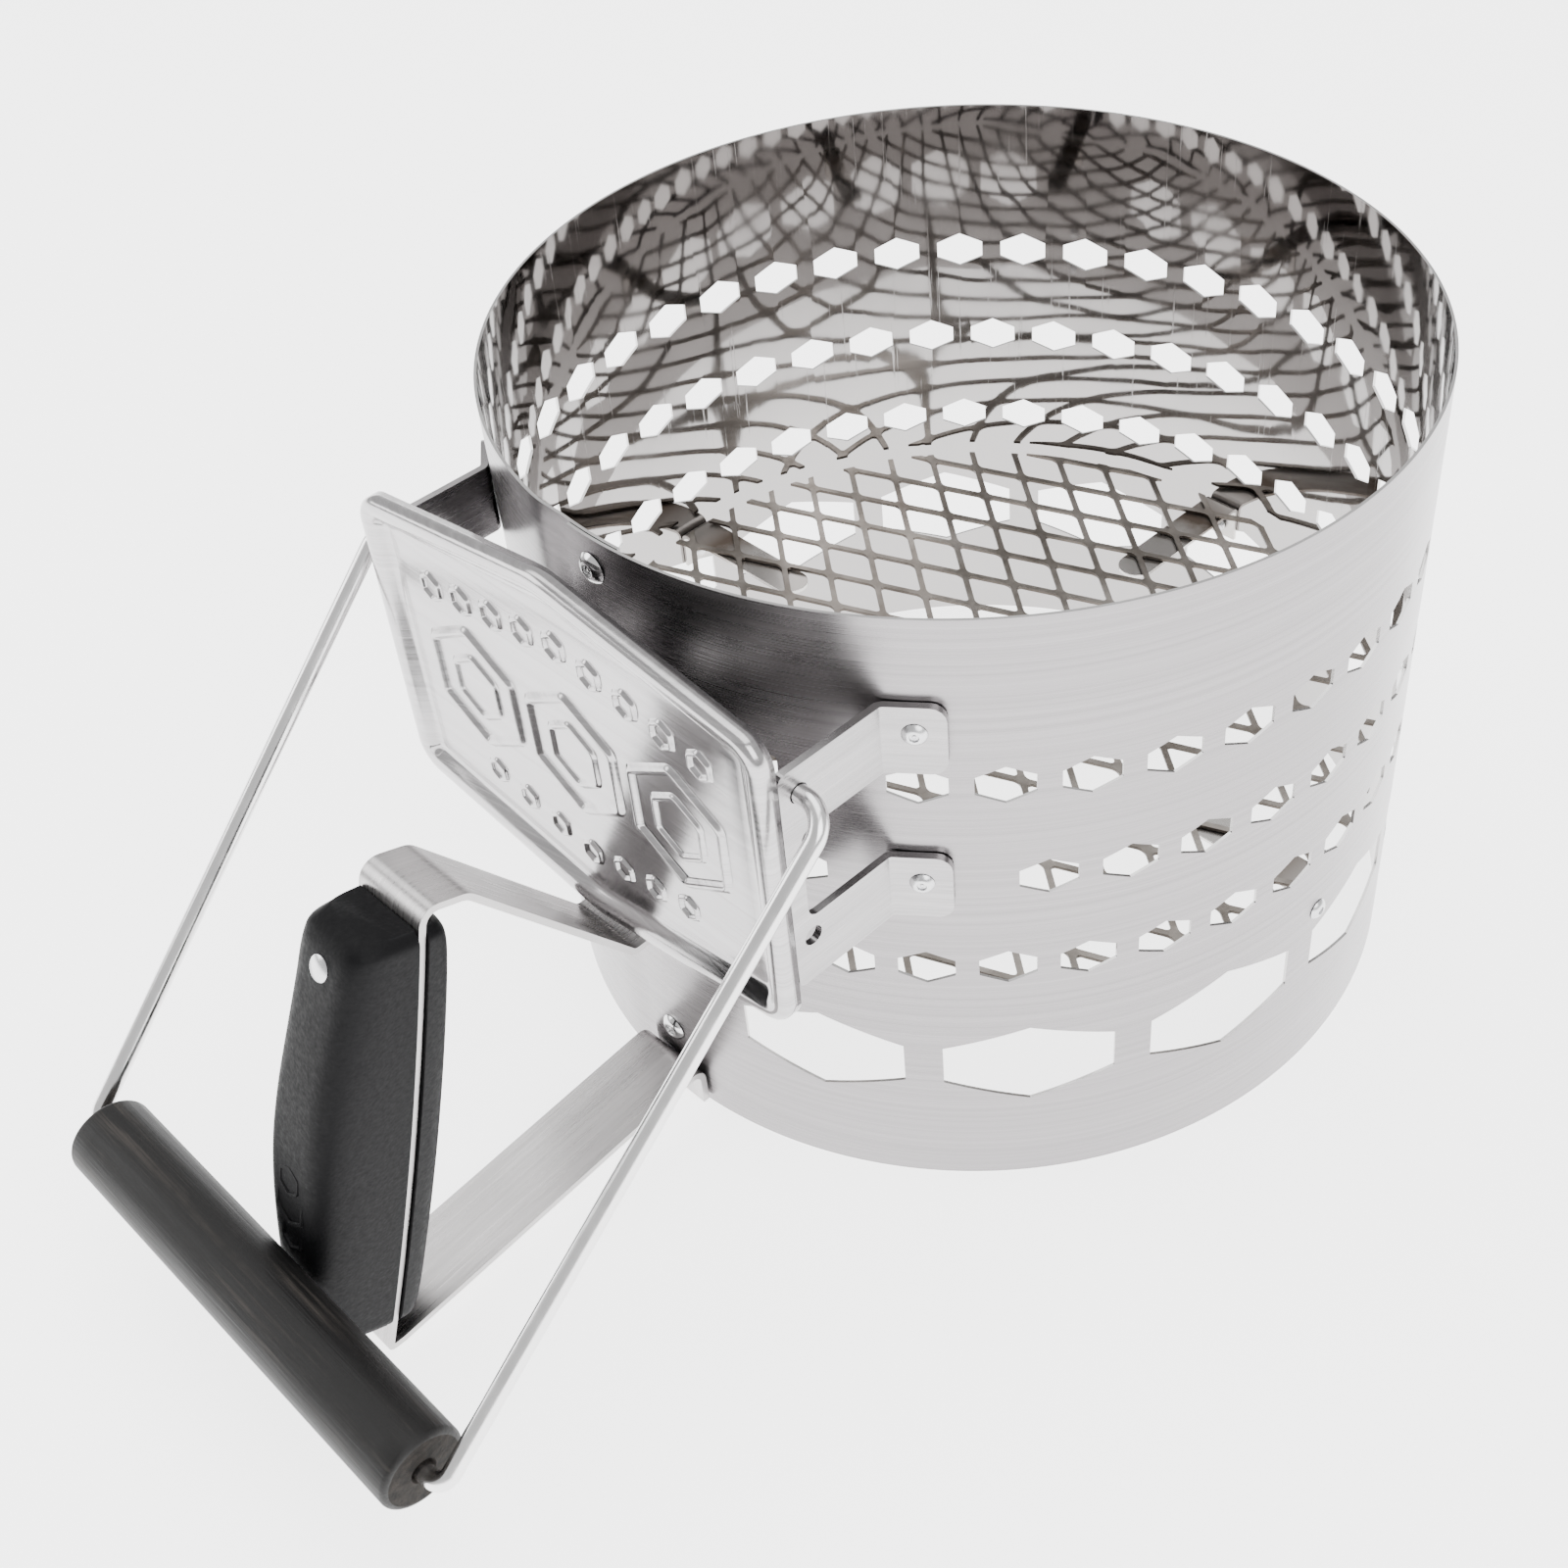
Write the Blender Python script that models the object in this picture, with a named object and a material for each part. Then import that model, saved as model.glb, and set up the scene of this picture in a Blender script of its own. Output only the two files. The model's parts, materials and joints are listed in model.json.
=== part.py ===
"""Chimney charcoal starter: a riveted steel drum with a grate, a strap handle, a swing bail and a heat shield.

Metres, +Z up. The handle points along -Y and the YZ plane is the plane of symmetry of the handle side.
The origin is at the middle of the object's bottom, on the surface that the drum stands on.
"""

import math

import bmesh
import bpy
from mathutils import Matrix, Vector
from mathutils.geometry import delaunay_2d_cdt

MM = 0.001
GAP = 0.0003  # clearance between pieces that touch

# Drum, a sheet rolled round and riveted where its ends lap, on the handle's side.
DRUM_RADIUS = 0.127
DRUM_HEIGHT = 0.1965
SHEET = 0.0008
LAP_HALF_ANGLE = 4.2

# Rivets, as head radius, head height, shank radius.
LARGE_RIVET = (0.0042, 0.0015, 0.0020)
SMALL_RIVET = (0.0031, 0.0012, 0.0016)
RIVET_SIDES = 12

# Bail and its wooden grip.
WIRE_RADIUS = 0.0024
BAIL_PIVOT_REACH = 0.1330
BAIL_PIVOT_HEIGHT = 0.1655
SPARE_HOLE_HEIGHT = 0.1197
BAIL_REST_REACH = 0.2604
BAIL_REST_HEIGHT = 0.0436
WOOD_RADIUS = 0.0111
WOOD_LENGTH = 0.139

# The drum's axis stands off the origin, because the handle side counts in the object's length.
AXIS_Y = (BAIL_REST_REACH + WOOD_RADIUS - DRUM_RADIUS - GAP - SMALL_RIVET[1]) / 2

# Vents: three rows of small hexagons and one row of large ones. Angles run from the handle, anticlockwise.
VENT_PITCH = 9.29
VENT_START = 9.57
VENT_COUNT = 38
SMALL_VENT = (6.6, 0.0115, 0.0053)  # width in degrees, full height, height of the upright sides
SMALL_VENT_HEIGHTS = (0.1472, 0.1158, 0.0845)
LARGE_VENT_PITCH = 25.36
LARGE_VENT_START = 23.8
LARGE_VENT_COUNT = 13
LARGE_VENT = (20.7, 0.0287, 0.0138)
LARGE_VENT_HEIGHT = 0.0458

# Brackets that carry the shield and the bail.
BRACKET_X = 0.0730
BRACKET_SHEET = 0.0020
BRACKET_MIDDLE = 0.1395
BRACKET_SPINE = 0.0675
BRACKET_RIVET_HEIGHTS = (0.1173, 0.1653)
ARM_HEIGHT = 0.020
FLANGE_ANGLE = 37.6
FLANGE_LENGTH = 0.0150

# Heat shield, a pressed plate with a rolled border.
SHIELD_REACH = 0.1441
SHIELD_MIDDLE = 0.1397
SHIELD_HALF_WIDTH = 0.0735
SHIELD_SIDE_HEIGHT = 0.0892
SHIELD_PEAK_RISE = 0.0108
SHIELD_CORNER = 0.009
SHIELD_SHEET = 0.0010
SHIELD_DEPTH = 0.0051

# Strap handle and its grip shells.
STRAP_WIDTH = 0.0240
STRAP_SHEET = 0.0020
# How far each shell stands off the strap's middle, at shares of the shell's length from its top.
GRIP_OUTER = (
    (0.0, 0.0140), (0.02, 0.0172), (0.06, 0.0192), (0.13, 0.0208), (0.25, 0.0234), (0.38, 0.0258),
    (0.50, 0.0269), (0.62, 0.0262), (0.75, 0.0243), (0.88, 0.0214), (0.95, 0.0190), (0.985, 0.0155), (1.0, 0.0115),
)
GRIP_INNER = (
    (0.0, 0.0050), (0.02, 0.0078), (0.06, 0.0092), (0.20, 0.0098), (0.50, 0.0100),
    (0.80, 0.0095), (0.94, 0.0088), (0.98, 0.0072), (1.0, 0.0048),
)
SHELL_START, SHELL_SPAN = 0.008, 0.962  # shares of the grip that the shells start at and cover
PIN_SHARES = (0.080, 0.83)
PIN_HEAD = 0.0020

# Grate of expanded metal on four tabs.
GRATE_TOP = 0.0712
GRATE_SHEET = 0.0018
GRATE_RADIUS = 0.1225
MESH_LONG = 0.0286
MESH_SHORT = 0.0164
STRAND = 0.0020
MESH_TURN = -8.0
TAB_WIDTH = 0.0115
TAB_LENGTH = 0.0535
TAB_SHEET = 0.0012
TAB_LEG = 0.0126
TAB_RIVET_HEIGHT = 0.0605


def clear_scene():
    for obj in list(bpy.data.objects):
        bpy.data.objects.remove(obj)


def material(name, colour, roughness, metallic):
    made = bpy.data.materials.new(name)
    made.use_nodes = True
    shader = made.node_tree.nodes["Principled BSDF"]
    shader.inputs["Base Color"].default_value = (*colour, 1.0)
    shader.inputs["Roughness"].default_value = roughness
    shader.inputs["Metallic"].default_value = metallic
    return made


def add_object(name, mesh, surface, smooth=True):
    """One named object from a bmesh, with its normals pointing out."""
    bmesh.ops.recalc_face_normals(mesh, faces=mesh.faces)
    data = bpy.data.meshes.new(name)
    mesh.to_mesh(data)
    mesh.free()
    data.materials.append(surface)
    if smooth:
        data.shade_smooth()
        data.set_sharp_from_angle(angle=math.radians(30))
    obj = bpy.data.objects.new(name, data)
    bpy.context.scene.collection.objects.link(obj)
    return obj


def add_cutter(name, mesh):
    obj = add_object(name, mesh, None, smooth=False)
    obj.hide_render = True
    obj.display_type = "WIRE"
    return obj


def combine(obj, other, operation):
    modifier = obj.modifiers.new(other.name, "BOOLEAN")
    modifier.operation = operation
    modifier.solver = "EXACT"
    modifier.object = other


def around(angle, radius, height):
    """A point by its angle from the handle in degrees, its distance from the drum's axis and its height."""
    turn = math.radians(angle - 90.0)
    return Vector((radius * math.cos(turn), AXIS_Y + radius * math.sin(turn), height))


def wall_frame(angle, radius, height):
    """X along the wall, Y up, Z away from the drum's axis, at a point of the wall."""
    turn = math.radians(angle - 90.0)
    outward = Vector((math.cos(turn), math.sin(turn), 0.0))
    along = Vector((-math.sin(turn), math.cos(turn), 0.0))
    frame = Matrix((along, Vector((0.0, 0.0, 1.0)), outward)).transposed().to_4x4()
    frame.translation = around(angle, radius, height)
    return frame


def rounded(corners, radius, steps=4):
    """The closed outline through corners, each turned with an arc of its own radius."""
    radii = radius if isinstance(radius, (list, tuple)) else [radius] * len(corners)
    outline = []
    for index, corner in enumerate(corners):
        here = Vector(corner)
        before = (Vector(corners[index - 1]) - here).normalized()
        after = (Vector(corners[(index + 1) % len(corners)]) - here).normalized()
        outline += fillet(here, before, after, radii[index], steps)
    return outline


def fillet(corner, before, after, radius, steps):
    """The points of the arc that turns a corner from one direction to the other."""
    if radius <= 0.0:
        return [corner]
    half = before.angle(after) / 2
    centre = corner + (before + after).normalized() * (radius / math.sin(half))
    start = corner + before * (radius / math.tan(half)) - centre
    end = corner + after * (radius / math.tan(half)) - centre
    sweep = start.angle(end)
    points = []
    for step in range(steps + 1):
        share = step / steps
        weight_start = math.sin((1 - share) * sweep) / math.sin(sweep)
        weight_end = math.sin(share * sweep) / math.sin(sweep)
        points.append(centre + start * weight_start + end * weight_end)
    return points


def bent(path, radii, steps=5):
    """The open route through path, with an arc at each point between its ends."""
    points = [Vector(path[0])]
    for index in range(1, len(path) - 1):
        here = Vector(path[index])
        before = (Vector(path[index - 1]) - here).normalized()
        after = (Vector(path[index + 1]) - here).normalized()
        points += fillet(here, before, after, radii[index - 1], steps)
    points.append(Vector(path[-1]))
    return points


def prism(outline, depth, frame):
    """A solid with a flat outline, from depth 0 to depth along the frame's Z."""
    mesh = bmesh.new()
    base = [mesh.verts.new(frame @ Vector((x, y, 0.0))) for x, y in outline]
    top = [mesh.verts.new(frame @ Vector((x, y, depth))) for x, y in outline]
    mesh.faces.new(base)
    mesh.faces.new(top)
    for index in range(len(outline)):
        after = (index + 1) % len(outline)
        mesh.faces.new((base[index], base[after], top[after], top[index]))
    return mesh


def turned(profile, frame, sides):
    """A solid of revolution about the frame's Z, from (radius, height) points that start and end on the axis."""
    mesh = bmesh.new()
    rings = []
    for radius, height in profile:
        count = sides if radius > 0.0 else 1
        turns = [2 * math.pi * index / sides for index in range(count)]
        rings.append(
            [mesh.verts.new(frame @ Vector((radius * math.cos(t), radius * math.sin(t), height))) for t in turns]
        )
    for lower, upper in zip(rings, rings[1:]):
        for index in range(sides):
            after = (index + 1) % sides
            corners = [lower[index % len(lower)], lower[after % len(lower)]]
            corners += [upper[after % len(upper)], upper[index % len(upper)]]
            mesh.faces.new(list(dict.fromkeys(corners)))
    return mesh


def strip(route, thickness):
    """The outline of a bent strip, half its thickness to each side of a flat route."""
    left, right = [], []
    for index, point in enumerate(route):
        ahead = route[min(index + 1, len(route) - 1)] - route[max(index - 1, 0)]
        before = (route[index] - route[index - 1]).normalized() if index else None
        after = (route[index + 1] - point).normalized() if index + 1 < len(route) else None
        normal = Vector((-ahead.y, ahead.x)).normalized()
        stretch = 1.0
        if before is not None and after is not None:
            stretch = 1.0 / max(math.cos(before.angle(after) / 2), 0.5)
        left.append(point + normal * thickness / 2 * stretch)
        right.append(point - normal * thickness / 2 * stretch)
    return left + right[::-1]


def joined(meshes):
    """One bmesh that holds several, which stay separate shells in a cutter."""
    whole = bmesh.new()
    for mesh in meshes:
        bmesh.ops.recalc_face_normals(mesh, faces=mesh.faces)
        data = bpy.data.meshes.new("shell")
        mesh.to_mesh(data)
        whole.from_mesh(data)
        mesh.free()
        bpy.data.meshes.remove(data)
    return whole


def vent_outline(size):
    """A hexagon with upright sides and a peak above and below, centred on its frame."""
    width = 2 * DRUM_RADIUS * math.tan(math.radians(size[0] / 2))
    peak, side = size[1] / 2, size[2] / 2
    half = width / 2
    return [(half, -side), (half, side), (0, peak), (-half, side), (-half, -side), (0, -peak)]


def small_vents():
    """The (angle, height) of each small vent. The middle row is staggered and stays clear of the brackets."""
    places = []
    for row, height in enumerate(SMALL_VENT_HEIGHTS):
        staggered = row == 1
        for index in range(VENT_COUNT - staggered):
            angle = VENT_START + VENT_PITCH * (index + staggered / 2)
            from_handle = min(angle, 360.0 - angle)
            if staggered and abs(from_handle - FLANGE_ANGLE) < 0.8 * VENT_PITCH:
                continue
            places.append((angle, height))
    return places


def large_vents():
    return [(LARGE_VENT_START + LARGE_VENT_PITCH * index, LARGE_VENT_HEIGHT) for index in range(LARGE_VENT_COUNT)]


def rivet_places():
    """Each drum rivet's name, angle, height, size, and how far its grip reaches outside and inside the wall."""
    tab = TAB_SHEET + GAP
    strap = STRAP_SHEET + GAP
    bracket = BRACKET_SHEET + GAP
    low, high = BRACKET_RIVET_HEIGHTS
    return [
        ("seam_rivet_top", 0.0, 0.1875, LARGE_RIVET, 0.0, SHEET + GAP),
        ("seam_rivet_bottom", 0.0, 0.0233, LARGE_RIVET, 0.0, SHEET + GAP),
        ("handle_rivet_upper", 0.0, 0.0925, LARGE_RIVET, strap, SHEET + GAP),
        ("handle_rivet_lower", 0.0, 0.0065, SMALL_RIVET, strap, SHEET + GAP),
        ("bracket_rivet_right_upper", FLANGE_ANGLE, high, SMALL_RIVET, bracket, 0.0),
        ("bracket_rivet_right_lower", FLANGE_ANGLE, low, SMALL_RIVET, bracket, 0.0),
        ("bracket_rivet_left_upper", -FLANGE_ANGLE, high, SMALL_RIVET, bracket, 0.0),
        ("bracket_rivet_left_lower", -FLANGE_ANGLE, low, SMALL_RIVET, bracket, 0.0),
        ("tab_rivet_handle", 0.0, TAB_RIVET_HEIGHT, SMALL_RIVET, 0.0, SHEET + GAP + tab),
        ("tab_rivet_right", 90.0, TAB_RIVET_HEIGHT, SMALL_RIVET, 0.0, tab),
        ("tab_rivet_far", 180.0, TAB_RIVET_HEIGHT, SMALL_RIVET, 0.0, tab),
        ("tab_rivet_left", 270.0, TAB_RIVET_HEIGHT, SMALL_RIVET, 0.0, tab),
    ]


def drum_angles():
    """The drum's upright edges: one at each vent's middle, and a few across the lap."""
    angles = [VENT_START + VENT_PITCH / 2 * index for index in range(2 * VENT_COUNT - 1)]
    return angles + [360 - LAP_HALF_ANGLE, 360.0, 360 + LAP_HALF_ANGLE]


def drum_blank():
    """The rolled sheet before it is pierced. Its inner face steps in where the sheet's ends lap."""
    mesh = bmesh.new()
    outer = [(angle, DRUM_RADIUS) for angle in drum_angles()]
    inner = []
    for angle in drum_angles():
        inside_lap = abs(angle - 360.0) < LAP_HALF_ANGLE
        at_edge = abs(abs(angle - 360.0) - LAP_HALF_ANGLE) < 1e-6
        single, double = DRUM_RADIUS - SHEET, DRUM_RADIUS - 2 * SHEET - GAP
        if at_edge:
            entering = angle < 360.0
            inner += [(angle, single), (angle, double)] if entering else [(angle, double), (angle, single)]
        else:
            inner.append((angle, double if inside_lap else single))
    loops = []
    for ring in (outer, inner):
        loops.append(
            [[mesh.verts.new(around(a, r, z)) for a, r in ring] for z in (0.0, DRUM_HEIGHT)]
        )
    for low, high in loops:
        for index in range(len(low)):
            after = (index + 1) % len(low)
            mesh.faces.new((low[index], low[after], high[after], high[index]))
    for level in (0, 1):
        edges = []
        for low_high in loops:
            ring = low_high[level]
            edges += [mesh.edges.get((ring[i], ring[(i + 1) % len(ring)])) for i in range(len(ring))]
        bmesh.ops.triangle_fill(mesh, use_beauty=True, edges=edges, normal=(0.0, 0.0, 1.0))
    return mesh


def make_drum(steel):
    drum = add_object("drum", drum_blank(), steel)
    reach = 0.006
    shapes = []
    for size, places in ((SMALL_VENT, small_vents()), (LARGE_VENT, large_vents())):
        for angle, height in places:
            frame = wall_frame(angle, DRUM_RADIUS - reach, height)
            if size is LARGE_VENT:
                shapes.append(prism(vent_outline(size), 2 * reach, frame))
            else:
                shapes.append(prism(vent_outline(size), 2 * reach, frame))
    combine(drum, add_cutter("vent_cutter", joined(shapes)), "DIFFERENCE")
    shapes = []
    for _, angle, height, size, _, _ in rivet_places():
        frame = wall_frame(angle, DRUM_RADIUS - reach, height)
        radius = size[2] + GAP
        profile = [(0.0, 0.0), (radius, 0.0), (radius, 2 * reach), (0.0, 2 * reach)]
        shapes.append(turned(profile, frame, 10))
    combine(drum, add_cutter("rivet_hole_cutter", joined(shapes)), "DIFFERENCE")


def rivet_profile(size, outside, inside):
    """A blind rivet: a domed head with a dimple outside, a shank, and an upset end inside the drum."""
    head, height, shank = size
    face = outside + GAP
    end = -SHEET - inside - GAP
    return [
        (0.0, end - 1.6 * shank),
        (shank * 1.1, end - 1.3 * shank),
        (shank * 1.5, end - 0.5 * shank),
        (shank * 1.4, end),
        (shank, end),
        (shank, face),
        (head, face),
        (head * 0.97, face + height * 0.35),
        (head * 0.55, face + height),
        (head * 0.34, face + height),
        (head * 0.26, face + height * 0.55),
        (0.0, face + height * 0.55),
    ]


def make_rivets(metal):
    for name, angle, height, size, outside, inside in rivet_places():
        frame = wall_frame(angle, DRUM_RADIUS, height)
        add_object(name, turned(rivet_profile(size, outside, inside), frame, RIVET_SIDES), metal)


def side_frame(x):
    """X runs out from the drum's axis towards the handle, Y runs up, Z runs along world +X."""
    frame = Matrix(((0.0, 0.0, 1.0), (-1.0, 0.0, 0.0), (0.0, 1.0, 0.0))).to_4x4()
    frame.translation = Vector((x, AXIS_Y, 0.0))
    return frame


def grip_line():
    """The middle of the strap between the grip shells, from its top to its bottom, as (reach, height)."""
    top, bottom = Vector((0.1976, 0.1312)), Vector((0.2370, 0.0075))
    bow = 0.0018
    across = Vector((-(bottom - top).y, (bottom - top).x)).normalized()
    points = []
    for step in range(7):
        share = step / 6
        points.append(top.lerp(bottom, share) + across * (-bow) * 4 * share * (1 - share))
    return points


def strap_route():
    """The strap's middle line: up the wall, out and up to the grip, down through it, and back to the wall."""
    wall = DRUM_RADIUS + GAP + STRAP_SHEET / 2
    grip = grip_line()
    upper = bent(
        [(wall, 0.0990), (wall, 0.0772), (0.1428, 0.0768), (0.1846, 0.1312), (0.1958, 0.1350), tuple(grip[0])],
        [0.0025, 0.0030, 0.0060, 0.0040],
    )
    lower = bent(
        [tuple(grip[-1]), (0.2385, 0.0036), (0.2340, 0.0034), (wall, 0.0145), (wall, 0.0015)],
        [0.0012, 0.0020, 0.0032],
    )
    return upper + grip[1:-1] + lower


def handle_pin_places():
    """Where the two grip pins cross the strap, as (reach, height), their direction out of the grip, and
    how far the seats of their heads are from the strap's middle, in the outer and the inner shell."""
    places = []
    for share in PIN_SHARES:
        point, outward = grip_point(share)
        along = (share - SHELL_START) / SHELL_SPAN
        seats = [shell_thickness(along, outer) - PIN_HEAD - 2 * GAP for outer in (True, False)]
        places.append((point, outward, *seats))
    return places


def pin_frame(place, outward):
    """Z runs out of the grip along the pin."""
    away = Vector((0.0, -outward.x, outward.y))
    along = Vector((1.0, 0.0, 0.0))
    frame = Matrix((along, away.cross(along), away)).transposed().to_4x4()
    frame.translation = Vector((0.0, AXIS_Y - place.x, place.y))
    return frame


def make_strap(steel):
    outline = strip(strap_route(), STRAP_SHEET)
    mesh = prism(outline, STRAP_WIDTH, side_frame(-STRAP_WIDTH / 2))
    strap = add_object("handle_strap", mesh, steel)
    holes = []
    for place, outward, *_ in handle_pin_places():
        frame = pin_frame(place, outward)
        holes.append(turned([(0.0, -0.004), (0.0023, -0.004), (0.0023, 0.004), (0.0, 0.004)], frame, 10))
    for name, angle, height, size, _, _ in rivet_places():
        if name.startswith("handle"):
            frame = wall_frame(angle, DRUM_RADIUS - 0.001, height)
            radius = size[2] + GAP
            holes.append(turned([(0.0, 0.0), (radius, 0.0), (radius, 0.005), (0.0, 0.005)], frame, 10))
    combine(strap, add_cutter("strap_hole_cutter", joined(holes)), "DIFFERENCE")


def shell_sections(near, far, outer):
    """The outline of a grip shell's section at each level: (across, away from the strap) points."""
    half = STRAP_WIDTH / 2 + 0.0006
    side = 0.0048 if outer else 0.003
    return [
        (-half, near),
        (-half - 0.0004, near + 0.3 * (far - near)),
        (-half + 0.15 * side, far - 0.9 * side),
        (-half + 0.45 * side, far - 0.3 * side),
        (-half + 1.3 * side, far),
        (half - 1.3 * side, far),
        (half - 0.45 * side, far - 0.3 * side),
        (half - 0.15 * side, far - 0.9 * side),
        (half + 0.0004, near + 0.3 * (far - near)),
        (half, near),
    ]


def shell_thickness(share, outer):
    """How far a shell stands off the strap's middle, at a share of its length."""
    profile = GRIP_OUTER if outer else GRIP_INNER
    for (start, low), (end, high) in zip(profile, profile[1:]):
        if share <= end:
            return low + (high - low) * max(share - start, 0.0) / (end - start)
    return profile[-1][1]


def grip_point(share):
    """A point of the grip's middle line and the direction out of the grip, at a share of its length."""
    grip = grip_line()
    place = share * (len(grip) - 1)
    index = min(int(place), len(grip) - 2)
    point = grip[index].lerp(grip[index + 1], place - index)
    before = grip[max(index - 1, 0)]
    after = grip[min(index + 2, len(grip) - 1)]
    along = (before - after).normalized()
    return point, Vector((along.y, -along.x))


def make_shell(name, plastic, outer):
    """One grip shell, lofted along the strap."""
    mesh = bmesh.new()
    near = STRAP_SHEET / 2 + GAP
    rings = []
    for share, _ in GRIP_OUTER if outer else GRIP_INNER:
        point, outward = grip_point(SHELL_START + SHELL_SPAN * share)
        if not outer:
            outward = -outward
        ring = []
        for across, away in shell_sections(near, shell_thickness(share, outer), outer):
            place = point + outward * away
            ring.append(mesh.verts.new((across, AXIS_Y - place.x, place.y)))
        rings.append(ring)
    for upper, lower in zip(rings, rings[1:]):
        for index in range(len(upper)):
            after = (index + 1) % len(upper)
            mesh.faces.new((upper[index], upper[after], lower[after], lower[index]))
    mesh.faces.new(rings[0])
    mesh.faces.new(rings[-1])
    shell = add_object(name, mesh, plastic)
    holes = []
    for place, outward, outer_seat, inner_seat in handle_pin_places():
        frame = pin_frame(place, outward)
        reach = 0.030 if outer else 0.014
        sign = 1.0 if outer else -1.0
        seat = outer_seat if outer else inner_seat
        profile = [(0.0, 0.0), (0.0023, 0.0), (0.0023, seat), (0.0037, seat), (0.0037, reach), (0.0, reach)]
        profile = [(radius, sign * height) for radius, height in profile]
        holes.append(turned(profile, frame, 12))
    combine(shell, add_cutter(name + "_hole_cutter", joined(holes)), "DIFFERENCE")


def make_pins(metal):
    """The two pins through the grip shells and the strap, with a flat head let into each shell."""
    names = ("grip_pin_upper", "grip_pin_lower")
    for name, (place, outward, outer_seat, inner_seat) in zip(names, handle_pin_places()):
        high, low = outer_seat + GAP, -inner_seat - GAP
        profile = [
            (0.0, low - PIN_HEAD),
            (0.0031, low - PIN_HEAD),
            (0.0034, low - PIN_HEAD + 0.0003),
            (0.0034, low),
            (0.0020, low),
            (0.0020, high),
            (0.0034, high),
            (0.0034, high + PIN_HEAD - 0.0003),
            (0.0031, high + PIN_HEAD),
            (0.0, high + PIN_HEAD),
        ]
        add_object(name, turned(profile, pin_frame(place, outward), 16), metal)


def shield_outline(inset):
    """The shield's outline, a wide hexagon with round corners, set in by a distance."""
    half = SHIELD_HALF_WIDTH
    side = SHIELD_SIDE_HEIGHT / 2
    peak = side + SHIELD_PEAK_RISE
    slope = math.atan2(SHIELD_PEAK_RISE, half)
    drop = inset / math.cos(slope)
    new_half = half - inset
    new_peak = peak - drop
    new_side = new_peak - new_half * math.tan(slope)
    corners = [
        (new_half, new_side),
        (0.0, new_peak),
        (-new_half, new_side),
        (-new_half, -new_side),
        (0.0, -new_peak),
        (new_half, -new_side),
    ]
    corner = max(SHIELD_CORNER - inset, 0.001)
    return rounded(corners, [corner, 0.03, corner, corner, 0.03, corner], 5)


def make_shield(steel):
    """The pressed plate: a wall turned back at its edge, a raised round border and a flat field."""
    front = [
        (0.0, -SHIELD_DEPTH),
        (0.0, -0.0020),
        (0.0009, -0.0003),
        (0.0026, 0.0004),
        (0.0046, 0.0002),
        (0.0070, -0.0022),
        (0.0085, -0.0026),
    ]
    back = [
        (SHIELD_SHEET, -SHIELD_DEPTH),
        (SHIELD_SHEET, -0.0024),
        (0.0016, -0.0013),
        (0.0028, -0.0007),
        (0.0043, -0.0008),
        (0.0066, -0.0032),
        (0.0083, -0.0036),
    ]
    mesh = bmesh.new()

    def rings(profile):
        made = []
        for inset, depth in profile:
            made.append(
                [
                    mesh.verts.new((x, AXIS_Y - SHIELD_REACH - depth, SHIELD_MIDDLE + z))
                    for x, z in shield_outline(inset)
                ]
            )
        return made

    front_rings, back_rings = rings(front), rings(back)
    pairs = list(zip(front_rings, front_rings[1:])) + list(zip(back_rings, back_rings[1:]))
    pairs.append((front_rings[0], back_rings[0]))
    for one, other in pairs:
        for index in range(len(one)):
            after = (index + 1) % len(one)
            mesh.faces.new((one[index], one[after], other[after], other[index]))
    mesh.faces.new(front_rings[-1])
    mesh.faces.new(back_rings[-1])
    add_object("heat_shield", mesh, steel)


def bracket_profile():
    """The spine and its two arms as one flat C, as (reach, height)."""
    tip = SHIELD_REACH - SHIELD_DEPTH - GAP
    spine = 0.0050
    root = 0.1068
    top = BRACKET_SPINE / 2
    arm = ARM_HEIGHT
    corners = [(tip, -top), (tip, top), (root, top), (root, top - arm)]
    corners += [(tip - spine, top - arm), (tip - spine, -top + arm), (root, -top + arm), (root, -top)]
    radii = [0.002, 0.002, 0.0, 0.0, 0.003, 0.003, 0.0, 0.0]
    return [(x, BRACKET_MIDDLE + y) for x, y in rounded(corners, radii, 4)]


def flange_route():
    """The bend from an arm to its flange, seen from above, as (x, reach)."""
    turn = math.radians(FLANGE_ANGLE)
    radius = DRUM_RADIUS + GAP + BRACKET_SHEET / 2
    foot = Vector((radius * math.sin(turn), radius * math.cos(turn)))
    along = Vector((math.cos(turn), -math.sin(turn)))
    start_x = BRACKET_X - BRACKET_SHEET / 2
    corner = foot + along * ((start_x - foot.x) / along.x)
    return bent([(start_x, 0.1085), tuple(corner), tuple(foot + along * FLANGE_LENGTH / 2)], [0.0022])


def flange_mesh(height):
    """One flange with the stub of its arm. Its free corners are round."""
    frame = Matrix(((1.0, 0.0, 0.0), (0.0, -1.0, 0.0), (0.0, 0.0, 1.0))).to_4x4()
    frame.translation = Vector((0.0, AXIS_Y, height - ARM_HEIGHT / 2))
    mesh = prism(strip(flange_route(), BRACKET_SHEET), ARM_HEIGHT, frame)
    end = max(mesh.verts, key=lambda vert: vert.co.x).co
    tips = [
        edge
        for edge in mesh.edges
        if abs(edge.verts[0].co.z - edge.verts[1].co.z) < 1e-6
        and all((vert.co - end).xy.length < 1.5 * BRACKET_SHEET for vert in edge.verts)
    ]
    bmesh.ops.bevel(mesh, geom=tips, offset=0.004, segments=4, affect="EDGES", profile=0.5)
    return mesh


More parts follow.
